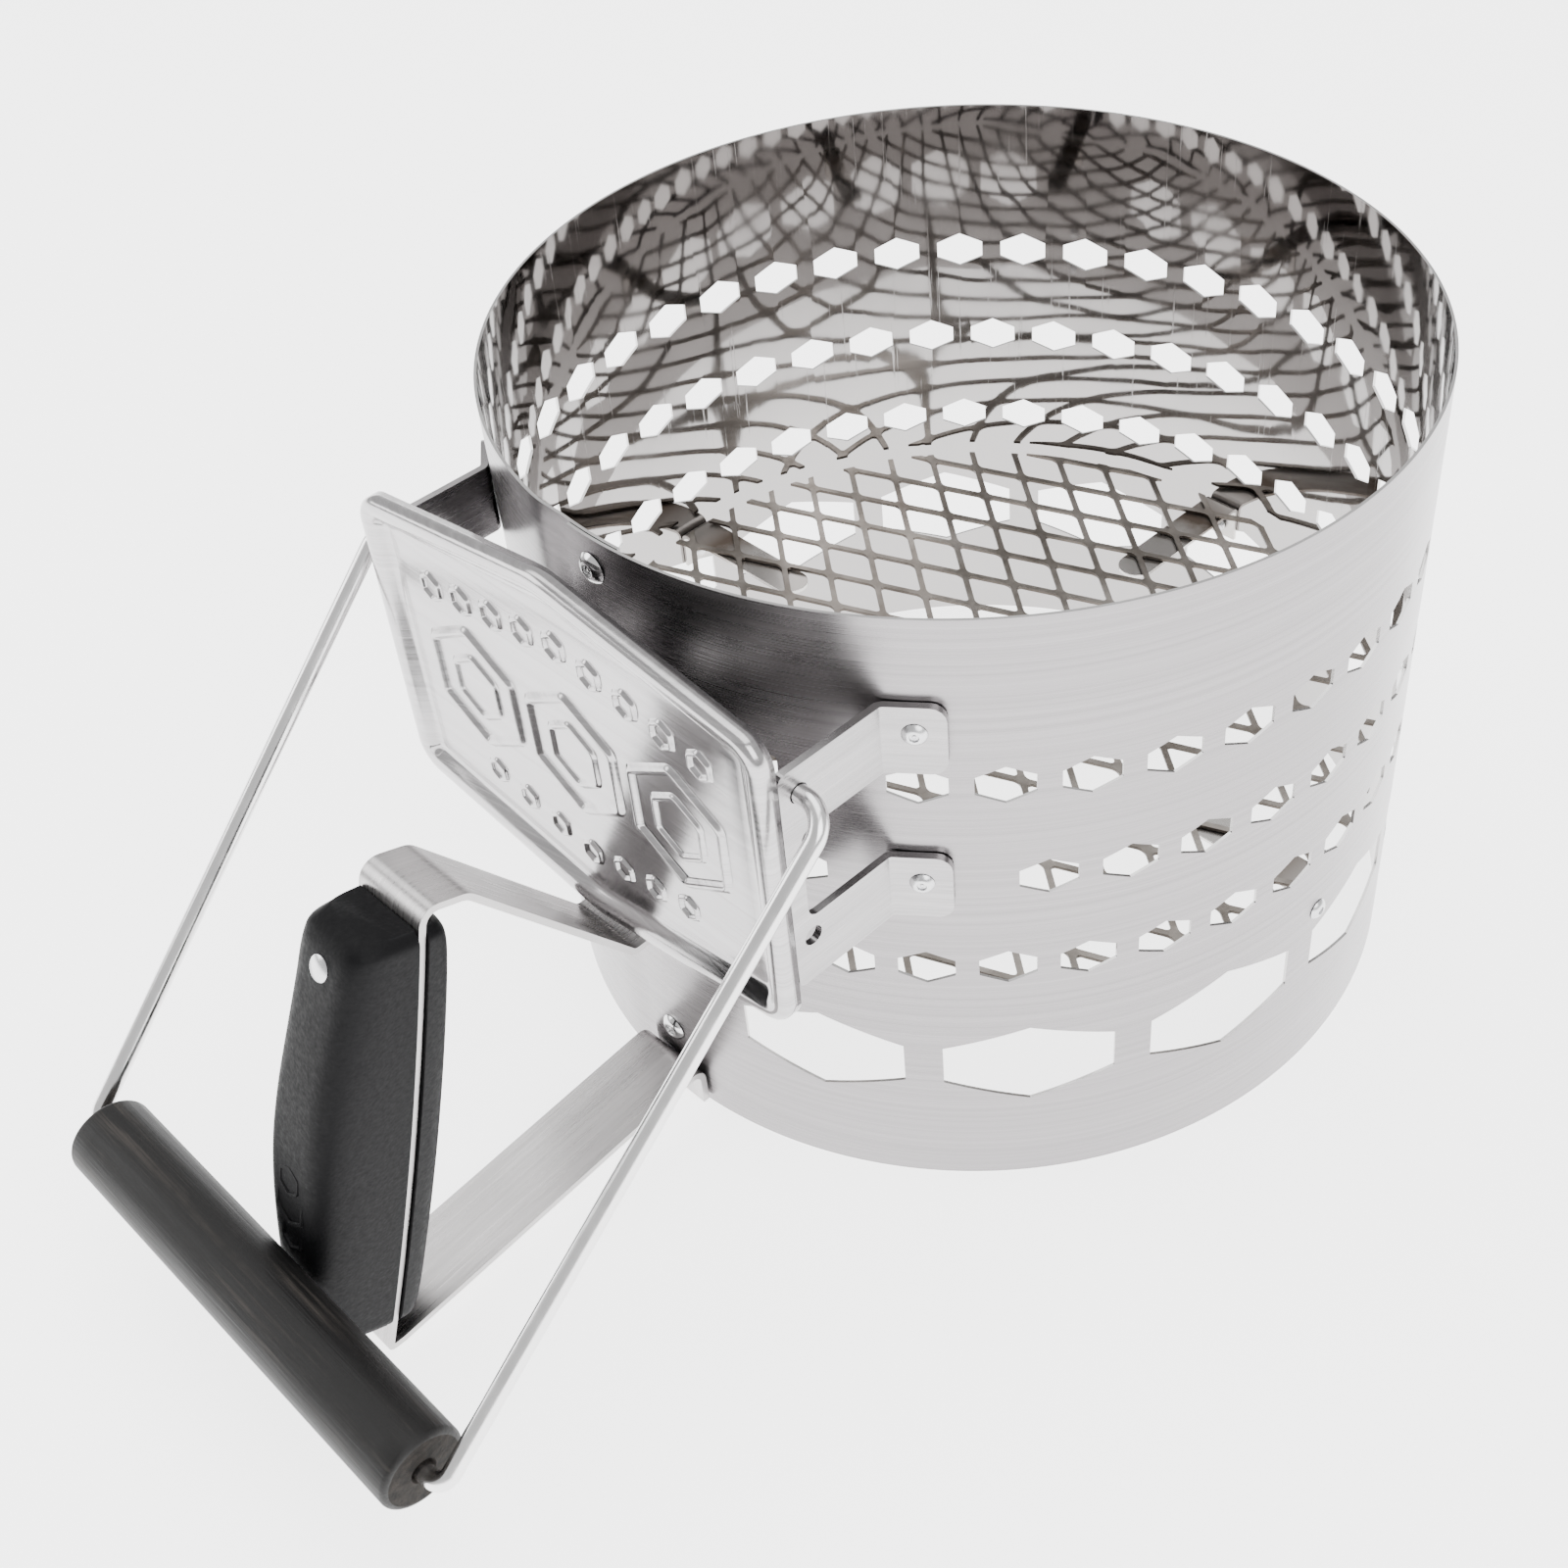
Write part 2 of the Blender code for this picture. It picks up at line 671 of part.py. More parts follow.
def make_bracket(side, steel):
    """A sheet bracket: spine and arms in one plane beside the shield, and two flanges on the drum."""
    sheet = prism(bracket_profile(), BRACKET_SHEET, side_frame(BRACKET_X - BRACKET_SHEET))
    flanges = [flange_mesh(BRACKET_MIDDLE + sign * (BRACKET_SPINE - ARM_HEIGHT) / 2) for sign in (-1, 1)]
    holes = []
    for height in (BAIL_PIVOT_HEIGHT, SPARE_HOLE_HEIGHT):
        frame = Matrix.Rotation(math.radians(90), 4, "Y")
        frame.translation = Vector((BRACKET_X - 0.004, AXIS_Y - BAIL_PIVOT_REACH, height))
        radius = WIRE_RADIUS + GAP
        holes.append(turned([(0.0, 0.0), (radius, 0.0), (radius, 0.006), (0.0, 0.006)], frame, 14))
    for _, angle, height, size, _, _ in rivet_places():
        if angle == FLANGE_ANGLE:
            frame = wall_frame(angle, DRUM_RADIUS - 0.001, height)
            radius = size[2] + GAP
            holes.append(turned([(0.0, 0.0), (radius, 0.0), (radius, 0.004), (0.0, 0.004)], frame, 10))
    name = "bracket_" + side
    meshes = [sheet, *flanges, joined(holes)]
    if side == "left":
        for mesh in meshes:
            bmesh.ops.scale(mesh, vec=(-1.0, 1.0, 1.0), verts=mesh.verts)
            bmesh.ops.reverse_faces(mesh, faces=mesh.faces)
    bracket = add_object(name, meshes[0], steel)
    combine(bracket, add_cutter(name + "_upper_flange", meshes[1]), "UNION")
    combine(bracket, add_cutter(name + "_lower_flange", meshes[2]), "UNION")
    combine(bracket, add_cutter(name + "_hole_cutter", meshes[3]), "DIFFERENCE")


def bail_route():
    """The wire's middle line with the pivot at the origin, X across and -Y down the legs."""
    span = math.hypot(BAIL_REST_REACH - BAIL_PIVOT_REACH, BAIL_PIVOT_HEIGHT - BAIL_REST_HEIGHT)
    inner, outer, low = 0.0675, 0.0830, 0.0764
    half = [(inner, 0.0), (outer, 0.0), (low, -span)]
    corners = half + [(-x, y) for x, y in reversed(half)]
    return bent(corners, [0.0075, 0.0050, 0.0050, 0.0075], 6)


def make_bail(wire_steel, wood):
    """The bail and its grip hang from one empty on the pivot line, turned to rest on the strap's grip."""
    drop = math.atan2(BAIL_PIVOT_HEIGHT - BAIL_REST_HEIGHT, BAIL_REST_REACH - BAIL_PIVOT_REACH)
    pivot = bpy.data.objects.new("bail_pivot", None)
    pivot.location = (0.0, AXIS_Y - BAIL_PIVOT_REACH, BAIL_PIVOT_HEIGHT)
    pivot.rotation_euler = (drop, 0.0, 0.0)
    bpy.context.scene.collection.objects.link(pivot)

    curve = bpy.data.curves.new("bail_wire", "CURVE")
    curve.dimensions = "3D"
    curve.bevel_depth = WIRE_RADIUS
    curve.bevel_resolution = 4
    curve.use_fill_caps = True
    route = bail_route()
    spline = curve.splines.new("POLY")
    spline.points.add(len(route) - 1)
    for point, place in zip(spline.points, route):
        point.co = (place.x, place.y, 0.0, 1.0)
    curve.materials.append(wire_steel)
    wire = bpy.data.objects.new("bail_wire", curve)
    wire.parent = pivot
    bpy.context.scene.collection.objects.link(wire)

    bore = WIRE_RADIUS + 2 * GAP
    half, edge = WOOD_LENGTH / 2, 0.0008
    profile = [(bore, -half), (WOOD_RADIUS - edge, -half), (WOOD_RADIUS, edge - half)]
    profile += [(WOOD_RADIUS, half - edge), (WOOD_RADIUS - edge, half), (bore, half)]
    mesh = bmesh.new()
    rings = []
    for radius, across in profile:
        turns = [2 * math.pi * index / 32 for index in range(32)]
        rings.append([mesh.verts.new((across, radius * math.cos(t), radius * math.sin(t))) for t in turns])
    for one, other in zip(rings, rings[1:] + rings[:1]):
        for index in range(32):
            after = (index + 1) % 32
            mesh.faces.new((one[index], one[after], other[after], other[index]))
    grip = add_object("wood_grip", mesh, wood)
    grip.parent = pivot
    grip.location = (0.0, route[len(route) // 2].y, 0.0)


def make_grate(steel):
    """Expanded metal as a flat plate, pierced by diamonds that run off its edge and leave stubs there."""
    count = 72
    rim = [
        Vector((GRATE_RADIUS * math.cos(2 * math.pi * i / count), GRATE_RADIUS * math.sin(2 * math.pi * i / count)))
        for i in range(count)
    ]
    turn = Matrix.Rotation(math.radians(MESH_TURN), 2)
    web = STRAND / math.sin(math.atan2(MESH_LONG, MESH_SHORT)) / 2
    long, short = MESH_LONG / 2 - web * MESH_LONG / MESH_SHORT, MESH_SHORT / 2 - web
    points, edges, centres = list(rim), [(i, (i + 1) % count) for i in range(count)], []
    for row in range(-18, 19):
        for column in range(-6, 7):
            centre = Vector(((column + (row % 2) / 2) * MESH_LONG, row * MESH_SHORT / 2))
            if centre.length > GRATE_RADIUS + MESH_LONG / 2:
                continue
            corners = [centre + Vector(step) for step in ((long, 0), (0, short), (-long, 0), (0, -short))]
            first = len(points)
            points += [turn @ corner for corner in corners]
            edges += [(first + i, first + (i + 1) % 4) for i in range(4)]
            centres.append(centre)
    verts, _, faces, *_ = delaunay_2d_cdt(points, edges, [], 0, 1e-7)
    mesh = bmesh.new()
    placed = [mesh.verts.new((p.x, AXIS_Y + p.y, GRATE_TOP - GRATE_SHEET)) for p in verts]
    inverse = turn.inverted()
    for face in faces:
        middle = sum((verts[i] for i in face), Vector((0.0, 0.0))) / len(face)
        if middle.length > GRATE_RADIUS * math.cos(math.pi / count):
            continue
        if not any(in_diamond(inverse @ middle - centre, long, short) for centre in centres):
            mesh.faces.new([placed[i] for i in face])
    drop_islands(mesh)
    lifted = bmesh.ops.extrude_face_region(mesh, geom=list(mesh.faces))["geom"]
    moved = [item for item in lifted if isinstance(item, bmesh.types.BMVert)]
    bmesh.ops.translate(mesh, vec=(0.0, 0.0, GRATE_SHEET), verts=moved)
    add_object("grate", mesh, steel, smooth=False)


def drop_islands(mesh):
    """Keep only the largest connected piece of a flat mesh."""
    left, largest = set(mesh.faces), set()
    while left:
        piece, queue = set(), [left.pop()]
        while queue:
            face = queue.pop()
            piece.add(face)
            beside = {other for edge in face.edges for other in edge.link_faces} & left
            left -= beside
            queue += beside
        largest = max(largest, piece, key=len)
    loose = [face for face in mesh.faces if face not in largest]
    bmesh.ops.delete(mesh, geom=loose, context="FACES")
    bmesh.ops.delete(mesh, geom=[vert for vert in mesh.verts if not vert.link_faces], context="VERTS")


def in_diamond(offset, long, short):
    return abs(offset.x) / long + abs(offset.y) / short < 1.0 - 1e-6


def make_tabs(steel):
    """Four L-shaped tabs: a leg riveted to the wall, and a strip under the grate with a round end."""
    for name, angle, _, size, _, inside in rivet_places():
        if not name.startswith("tab"):
            continue
        wall = DRUM_RADIUS - SHEET - inside + TAB_SHEET / 2
        top = GRATE_TOP - GRATE_SHEET - GAP - TAB_SHEET / 2
        end = DRUM_RADIUS - TAB_LENGTH
        route = bent([(wall, top - TAB_LEG), (wall, top), (end, top)], [0.0018])
        frame = wall_frame(angle, 0.0, 0.0) @ Matrix.Rotation(math.radians(-90), 4, "Y")
        frame = frame @ Matrix.Translation((0.0, 0.0, -TAB_WIDTH / 2))
        mesh = prism(strip(route, TAB_SHEET), TAB_WIDTH, frame)
        place = around(angle, end, top)
        tips = [
            edge
            for edge in mesh.edges
            if abs(edge.verts[0].co.z - edge.verts[1].co.z) > 0.9 * TAB_SHEET
            and (edge.verts[0].co.xy - place.xy).length < 0.6 * TAB_WIDTH
            and (edge.verts[0].co - edge.verts[1].co).xy.length < 1e-6
        ]
        bmesh.ops.bevel(mesh, geom=tips, offset=TAB_WIDTH * 0.49, segments=5, affect="EDGES", profile=0.5)
        tab = add_object("grate_" + name.replace("rivet_", ""), mesh, steel)
        hole_frame = wall_frame(angle, wall - 0.003, TAB_RIVET_HEIGHT)
        radius = size[2] + GAP
        hole = turned([(0.0, 0.0), (radius, 0.0), (radius, 0.006), (0.0, 0.006)], hole_frame, 10)
        combine(tab, add_cutter(tab.name + "_hole_cutter", hole), "DIFFERENCE")


def main():
    clear_scene()
    brushed = material("brushed_steel", (0.62, 0.61, 0.60), 0.32, 1.0)
    mesh_steel = material("mesh_steel", (0.42, 0.38, 0.34), 0.40, 1.0)
    wire_steel = material("wire_steel", (0.70, 0.70, 0.70), 0.22, 1.0)
    rivet_metal = material("rivet_metal", (0.78, 0.78, 0.79), 0.20, 1.0)
    plastic = material("grip_plastic", (0.018, 0.018, 0.020), 0.55, 0.0)
    wood = material("stained_wood", (0.030, 0.026, 0.024), 0.60, 0.0)
    make_drum(brushed)
    make_rivets(rivet_metal)
    make_strap(brushed)
    make_shell("grip_shell_outer", plastic, outer=True)
    make_shell("grip_shell_inner", plastic, outer=False)
    make_pins(rivet_metal)
    make_shield(brushed)
    make_bracket("right", brushed)
    make_bracket("left", brushed)
    make_bail(wire_steel, wood)
    make_grate(mesh_steel)
    make_tabs(brushed)


main()
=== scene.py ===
"""Looks of the chimney charcoal starter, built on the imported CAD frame."""

import json
import math

import bmesh
import bpy
from mathutils import Matrix, Vector
from mathutils.geometry import delaunay_2d_cdt


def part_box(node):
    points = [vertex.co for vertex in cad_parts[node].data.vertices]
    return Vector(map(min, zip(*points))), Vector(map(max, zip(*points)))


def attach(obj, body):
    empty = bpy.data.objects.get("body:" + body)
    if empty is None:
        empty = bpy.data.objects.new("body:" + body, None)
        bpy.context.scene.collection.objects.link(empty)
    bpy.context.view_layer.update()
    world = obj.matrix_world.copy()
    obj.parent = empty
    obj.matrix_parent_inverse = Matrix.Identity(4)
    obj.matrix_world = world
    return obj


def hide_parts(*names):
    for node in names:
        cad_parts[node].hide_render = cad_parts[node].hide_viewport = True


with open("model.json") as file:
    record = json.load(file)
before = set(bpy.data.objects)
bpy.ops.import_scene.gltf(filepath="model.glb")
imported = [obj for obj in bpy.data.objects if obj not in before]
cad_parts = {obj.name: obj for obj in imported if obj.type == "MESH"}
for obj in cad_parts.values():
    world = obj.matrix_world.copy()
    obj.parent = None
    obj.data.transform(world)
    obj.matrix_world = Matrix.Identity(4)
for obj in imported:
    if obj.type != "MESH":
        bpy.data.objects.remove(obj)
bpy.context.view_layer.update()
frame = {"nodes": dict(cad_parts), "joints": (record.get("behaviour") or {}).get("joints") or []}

# The drum's place and size come from the CAD; its outer sheet is the reference for everything on it.
DRUM_LOW, DRUM_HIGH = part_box("drum")
R = 0.127
AXIS_Y = (DRUM_LOW.y + DRUM_HIGH.y) / 2
HEIGHT = DRUM_HIGH.z
SHEET = 0.0008
GAP = 0.0003
LAP = 4.2

VENT_PITCH, VENT_START, VENT_COUNT = 9.29, 9.57, 38
SMALL_VENT, SMALL_HEIGHTS = (6.6, 0.0115, 0.0053), (0.1472, 0.1158, 0.0845)
LARGE_PITCH, LARGE_START, LARGE_COUNT = 25.36, 23.8, 13
LARGE_VENT, LARGE_HEIGHT = (20.7, 0.0287, 0.0138), 0.0458
FLANGE_ANGLE = 37.6


# ---------------------------------------------------------------- meshes

def link(name, mesh, surface, body="drum_body", nodes=(), smooth=True, angle=30):
    """Puts a bmesh in the scene as a piece that rides on a body and stands for CAD nodes."""
    bmesh.ops.recalc_face_normals(mesh, faces=mesh.faces)
    data = bpy.data.meshes.new(name)
    mesh.to_mesh(data)
    mesh.free()
    for one in surface if isinstance(surface, (list, tuple)) else [surface]:
        data.materials.append(one)
    if smooth:
        data.shade_smooth()
        data.set_sharp_from_angle(angle=math.radians(angle))
    obj = bpy.data.objects.new(name, data)
    bpy.context.scene.collection.objects.link(obj)
    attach(obj, body)
    if nodes:
        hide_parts(*nodes)
    return obj


def around(angle, radius, height):
    turn = math.radians(angle - 90.0)
    return Vector((radius * math.cos(turn), AXIS_Y + radius * math.sin(turn), height))


def wall_frame(angle, radius, height):
    turn = math.radians(angle - 90.0)
    outward = Vector((math.cos(turn), math.sin(turn), 0.0))
    along = Vector((-math.sin(turn), math.cos(turn), 0.0))
    made = Matrix((along, Vector((0.0, 0.0, 1.0)), outward)).transposed().to_4x4()
    made.translation = around(angle, radius, height)
    return made


def ease(value, start, end):
    share = min(max((value - start) / (end - start), 0.0), 1.0)
    return share * share * (3.0 - 2.0 * share)


def turned(profile, place, sides, mesh=None):
    """A solid of revolution about the frame's Z, added to a mesh or in a new one."""
    mesh = mesh or bmesh.new()
    rings = []
    for radius, height in profile:
        count = sides if radius > 0.0 else 1
        turns = [2 * math.pi * i / sides for i in range(count)]
        spots = [Vector((radius * math.cos(t), radius * math.sin(t), height)) for t in turns]
        rings.append([mesh.verts.new(place @ spot) for spot in spots])
    for one, other in zip(rings, rings[1:]):
        for i in range(sides):
            j = (i + 1) % sides
            corners = [one[i % len(one)], one[j % len(one)], other[j % len(other)], other[i % len(other)]]
            mesh.faces.new(list(dict.fromkeys(corners)))
    return mesh


def hexagon(size, centre):
    """A vent's outline in the unrolled sheet: angle in degrees, height in metres."""
    half, peak, side = size[0] / 2, size[1] / 2, size[2] / 2
    u, z = centre
    right = [(u + half, z - side), (u + half, z + side), (u, z + peak)]
    return right + [(u - half, z + side), (u - half, z - side), (u, z - peak)]


def inside_hexagon(size, centre, u, z):
    beside = abs(u - centre[0]) / (size[0] / 2)
    return beside < 1.0 and abs(z - centre[1]) < size[1] / 2 - (size[1] - size[2]) / 2 * beside


def vents():
    found = []
    for row, height in enumerate(SMALL_HEIGHTS):
        staggered = row == 1
        for index in range(VENT_COUNT - staggered):
            angle = VENT_START + VENT_PITCH * (index + staggered / 2)
            if staggered and abs(min(angle, 360.0 - angle) - FLANGE_ANGLE) < 0.8 * VENT_PITCH:
                continue
            found.append((SMALL_VENT, (angle, height)))
    found += [(LARGE_VENT, (LARGE_START + LARGE_PITCH * i, LARGE_HEIGHT)) for i in range(LARGE_COUNT)]
    return found


def sheet_radius(u):
    """The sheet's outer face. Its far end steps in and runs under its near end."""
    return R - (SHEET + GAP) * ease(u, 349.5, 355.4)


def make_drum(outside, inside, edge):
    """The rolled sheet, cut out flat and bent round, with its vents and one clipped corner at the lap."""
    scale = 0.0022
    clip_wide, clip_high = 0.72, 0.0018
    columns = 300
    points, edges = [], []

    def ring(corners):
        first = len(points)
        points.extend(Vector((u * scale, z)) for u, z in corners)
        edges.extend((first + i, first + (i + 1) % len(corners)) for i in range(len(corners)))

    low, high = -LAP, 360 + LAP
    ring([(low, 0.0), (high, 0.0), (high, HEIGHT), (low + clip_wide, HEIGHT), (low, HEIGHT - clip_high)])
    holes = vents()
    for size, centre in holes:
        ring(hexagon(size, centre))
    for i in range(1, columns):
        u = low + (high - low) * i / columns
        first = len(points)
        points += [Vector((u * scale, 0.0)), Vector((u * scale, HEIGHT))]
        edges.append((first, first + 1))
    for z in (0.0012, 0.066, 0.0995, 0.1315, HEIGHT - 0.0019):
        first = len(points)
        points += [Vector(((low + 0.001) * scale, z)), Vector((high * scale, z))]
        edges.append((first, first + 1))
    verts, _, faces, *_ = delaunay_2d_cdt(points, edges, [], 0, 1e-8)
    kept = []
    for face in faces:
        middle = sum((verts[i] for i in face), Vector((0.0, 0.0))) / len(face)
        u, z = middle.x / scale, middle.y
        clipped = (u - low) / clip_wide + (HEIGHT - z) / clip_high < 1.0
        if clipped or not (low < u < high and 0.0 < z < HEIGHT):
            continue
        if not any(inside_hexagon(size, centre, u, z) for size, centre in holes):
            kept.append(face)
    mesh = bmesh.new()
    skins = []
    for depth in (0.0, SHEET):
        spots = [around(v.x / scale, sheet_radius(v.x / scale) - depth, v.y) for v in verts]
        skins.append([mesh.verts.new(spot) for spot in spots])
    rims = {}
    for face in kept:
        made = mesh.faces.new([skins[0][i] for i in face])
        made.material_index = 0
        made = mesh.faces.new([skins[1][i] for i in reversed(face)])
        made.material_index = 1
        for i, j in zip(face, face[1:] + face[:1]):
            key = (min(i, j), max(i, j))
            rims[key] = rims.get(key, 0) + 1
    for (i, j), uses in rims.items():
        if uses == 1:
            made = mesh.faces.new((skins[0][i], skins[0][j], skins[1][j], skins[1][i]))
            made.material_index = 2
    bmesh.ops.delete(mesh, geom=[v for v in mesh.verts if not v.link_faces], context="VERTS")
    return link("drum_shell", mesh, [outside, inside, edge], nodes=["drum"])


def rounded(corners, radii, steps):
    """A closed outline with its corners rounded, each by its own radius."""
    outline = []
    for index, corner in enumerate(corners):
        here = Vector(corner)
        before = (Vector(corners[index - 1]) - here).normalized()
        after = (Vector(corners[(index + 1) % len(corners)]) - here).normalized()
        outline += fillet(here, before, after, radii[index], steps)
    return outline


def fillet(corner, before, after, radius, steps):
    """The points of an arc that rounds one corner, from the unit directions of its two sides."""
    if radius <= 0.0:
        return [corner]
    half = before.angle(after) / 2
    centre = corner + (before + after).normalized() * (radius / math.sin(half))
    start = corner + before * (radius / math.tan(half)) - centre
    end = corner + after * (radius / math.tan(half)) - centre
    sweep = start.angle(end)
    found = []
    for step in range(steps + 1):
        share = step / steps
        weight_start = math.sin((1 - share) * sweep) / math.sin(sweep)
        weight_end = math.sin(share * sweep) / math.sin(sweep)
        found.append(centre + start * weight_start + end * weight_end)
    return found


def bent(path, radii, steps):
    """An open path with its corners rounded."""
    found = [Vector(path[0])]
    for index in range(1, len(path) - 1):
        here = Vector(path[index])
        before = (Vector(path[index - 1]) - here).normalized()
        after = (Vector(path[index + 1]) - here).normalized()
        found += fillet(here, before, after, radii[index - 1], steps)
    found.append(Vector(path[-1]))
    return found


# ---------------------------------------------------------------- heat shield

SHIELD_LOW, SHIELD_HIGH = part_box("heat_shield")
SHIELD_MIDDLE = (SHIELD_LOW.z + SHIELD_HIGH.z) / 2
SHIELD_HALF = SHIELD_HIGH.x
SHIELD_RISE = 0.0108
SHIELD_SIDE = 0.0892 / 2
FIELD_Y = SHIELD_LOW.y + 0.0030


def shield_outline(inset):
    """The plate's outline, moved inwards."""
    slope = math.atan2(SHIELD_RISE, SHIELD_HALF)
    half = SHIELD_HALF - inset
    peak = SHIELD_SIDE + SHIELD_RISE - inset / math.cos(slope)
    side = peak - half * math.tan(slope)
    corners = [(half, side), (0.0, peak), (-half, side), (-half, -side), (0.0, -peak), (half, -side)]
    corner = max(0.009 - inset, 0.0022)
    return rounded(corners, [corner, 0.03, corner, corner, 0.03, corner], 10)


def make_shield(metal):
    """Pressed plate: edge turned back, raised round border and a flat field with hexagonal beads."""
    front_y = SHIELD_LOW.y
    profile = [(0.0, 0.0051), (0.0, 0.0022), (0.0002, 0.0014), (0.0006, 0.0008), (0.0012, 0.0003)]
    profile += [(0.0020, 0.00008), (0.0030, 0.0), (0.0040, 0.0001), (0.0050, 0.0005)]
    profile += [(0.0060, 0.0012), (0.0069, 0.0021), (0.0076, 0.0027), (0.0083, 0.0030)]
    profile += [(0.0092, 0.0031), (0.0110, 0.0030), (0.0130, 0.0029), (0.0150, 0.0029)]
    mesh = bmesh.new()
    rings = []
    for inset, depth in profile:
        y = front_y + 0.0001 + depth
        rings.append([mesh.verts.new((x, y, SHIELD_MIDDLE + z)) for x, z in shield_outline(inset)])
    for one, other in zip(rings, rings[1:]):
        for i in range(len(one)):
            j = (i + 1) % len(one)
            mesh.faces.new((one[i], one[j], other[j], other[i]))
    mesh.faces.new(rings[-1])
    bmesh.ops.recalc_face_normals(mesh, faces=mesh.faces)
    plate = link("heat_shield_plate", mesh, metal, nodes=["heat_shield"],
                 angle=50)
    solid = plate.modifiers.new("sheet", "SOLIDIFY")
    solid.thickness = 0.0009
    solid.offset = -1.0
    solid.use_even_offset = True
    shapes = []
    for x in (-0.0385, 0.0, 0.0385):
        shapes.append((hexagon_outline(0.0158, 0.0185), (x, -0.001), 0.0036, 0.00125))
        shapes.append((hexagon_outline(0.0082, 0.0098), (x, -0.001), 0.0028, 0.00090))
    for step in range(-4, 5):
        x = 0.0125 * step
        slope = SHIELD_RISE / SHIELD_HALF * abs(x)
        shapes.append((hexagon_outline(0.0033, 0.0039), (x, 0.0330 - slope), 0.0023, 0.00095))
        if abs(step) < 4:
            shapes.append((hexagon_outline(0.0029, 0.0034), (x, -0.0345 + slope), 0.0021, 0.00085))
    mesh = bmesh.new()
    for outline, centre, width, height in shapes:
        add_bead(mesh, outline, centre, width, height)
    link("heat_shield_beads", mesh, metal, angle=60)


def hexagon_outline(half, peak):
    side = peak / 2
    corners = [(half, side), (0.0, peak), (-half, side), (-half, -side), (0.0, -peak), (half, -side)]
    return rounded(corners, [min(0.0022, half * 0.35)] * 6, 5)


def add_bead(mesh, outline, centre, width, height):
    """A pressed bead along a closed outline: a smooth ridge that leaves the field without an edge."""
    count, steps = len(outline), 10
    rows = []
    for i in range(count):
        here = outline[i]
        ahead = (outline[(i + 1) % count] - here).normalized()
        behind = (here - outline[i - 1]).normalized()
        along = (ahead + behind).normalized()
        across = Vector((-along.y, along.x))
        stretch = 1.0 / max(math.sqrt((1.0 + ahead.dot(behind)) / 2), 0.6)
        row = []
        for step in range(steps + 1):
            offset = (step / steps - 0.5) * width
            lift = height * (0.5 + 0.5 * math.cos(2 * math.pi * offset / width)) ** 0.8
            spot = here + across * offset * stretch
            y, z = FIELD_Y + 0.00002 - lift, SHIELD_MIDDLE + centre[1] + spot.y
            row.append(mesh.verts.new((centre[0] + spot.x, y, z)))
        rows.append(row)
    for i in range(count):
        one, other = rows[i], rows[(i + 1) % count]
        for step in range(steps + 1):
            beside = (step + 1) % (steps + 1)
            mesh.faces.new((one[step], one[beside], other[beside], other[step]))


# ---------------------------------------------------------------- copies of CAD nodes with rolled edges

def refine(node, surface, width):
    """A copy of a CAD node with its sharp edges broken, which stands for that node."""
    source = frame["nodes"][node].data
    mesh = bmesh.new()
    mesh.from_mesh(source)
    bmesh.ops.remove_doubles(mesh, verts=mesh.verts, dist=0.00001)
    bmesh.ops.dissolve_limit(mesh, angle_limit=math.radians(0.8), verts=mesh.verts, edges=mesh.edges)
    obj = link(node + "_piece", mesh, surface, nodes=[node])
    bevel = obj.modifiers.new("edges", "BEVEL")
    bevel.width = width
    bevel.segments = 2
    bevel.limit_method = "ANGLE"
    bevel.angle_limit = math.radians(40)
    bevel.harden_normals = True
    bevel.use_clamp_overlap = True


def rivet_profile(head, rise, shank, inside):
    """Blind rivet in cross-section: dome, dimple with the broken stem in it, and the upset end."""
    points = [(0.0, -inside - 1.5 * shank), (shank * 0.7, -inside - 1.4 * shank)]
    points += [(shank * 1.3, -inside - 0.9 * shank), (shank * 1.5, -inside - 0.4 * shank)]
    points += [(shank * 1.35, -inside), (shank, -inside), (shank, 0.0), (head, 0.0)]
    for step in range(1, 10):
        share = step / 9
        points.append((head * (1.0 - 0.55 * share), rise * math.sin(share * math.pi / 2) ** 0.85))
    dimple = [(0.40, 1.0), (0.37, 0.93), (0.35, 0.55), (0.32, 0.50), (0.17, 0.50), (0.16, 0.62), (0.12, 0.70)]
    return points + [(head * across, rise * up) for across, up in dimple] + [(0.0, rise * 0.70)]


def make_rivets(chrome, dull):
    bracket, strap, tab = 0.0020 + GAP, 0.0020 + GAP, 0.0012 + GAP
    lap, large, small = SHEET + GAP, 0.0042, 0.0031
    places = [("seam_rivet_top", 0.0, 0.1875, large, 0.0, lap)]
    places += [("seam_rivet_bottom", 0.0, 0.0233, large, 0.0, lap)]
    places += [("handle_rivet_upper", 0.0, 0.0925, large, strap, lap)]
    places += [("handle_rivet_lower", 0.0, 0.0065, small, strap, lap)]
    for side, angle in (("right", FLANGE_ANGLE), ("left", -FLANGE_ANGLE)):
        for end, height in (("upper", 0.1653), ("lower", 0.1173)):
            places.append(("bracket_rivet_%s_%s" % (side, end), angle, height, small, bracket, 0.0))
    for side, angle in (("handle", 0), ("right", 90), ("far", 180), ("left", 270)):
        inside = tab + (lap if side == "handle" else 0.0)
        places.append(("tab_rivet_" + side, angle, 0.0605, small, 0.0, inside))
    for name, angle, height, head, outside, inside in places:
        rise, shank = (0.0015, 0.0020) if head == large else (0.0012, 0.0016)
        place = wall_frame(angle, R + outside + GAP * 0.5, height)
        profile = rivet_profile(head, rise, shank, SHEET + inside + outside + GAP * 1.5)
        surface = chrome if name.startswith("seam") else dull
        link(name + "_piece", turned(profile, place, 40), surface, nodes=[name], angle=40)


# ---------------------------------------------------------------- grate

GRATE_LOW, GRATE_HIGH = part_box("grate")
GRATE_RADIUS = 0.1225
MESH_LONG, MESH_SHORT, MESH_TURN = 0.0286, 0.0164, -8.0


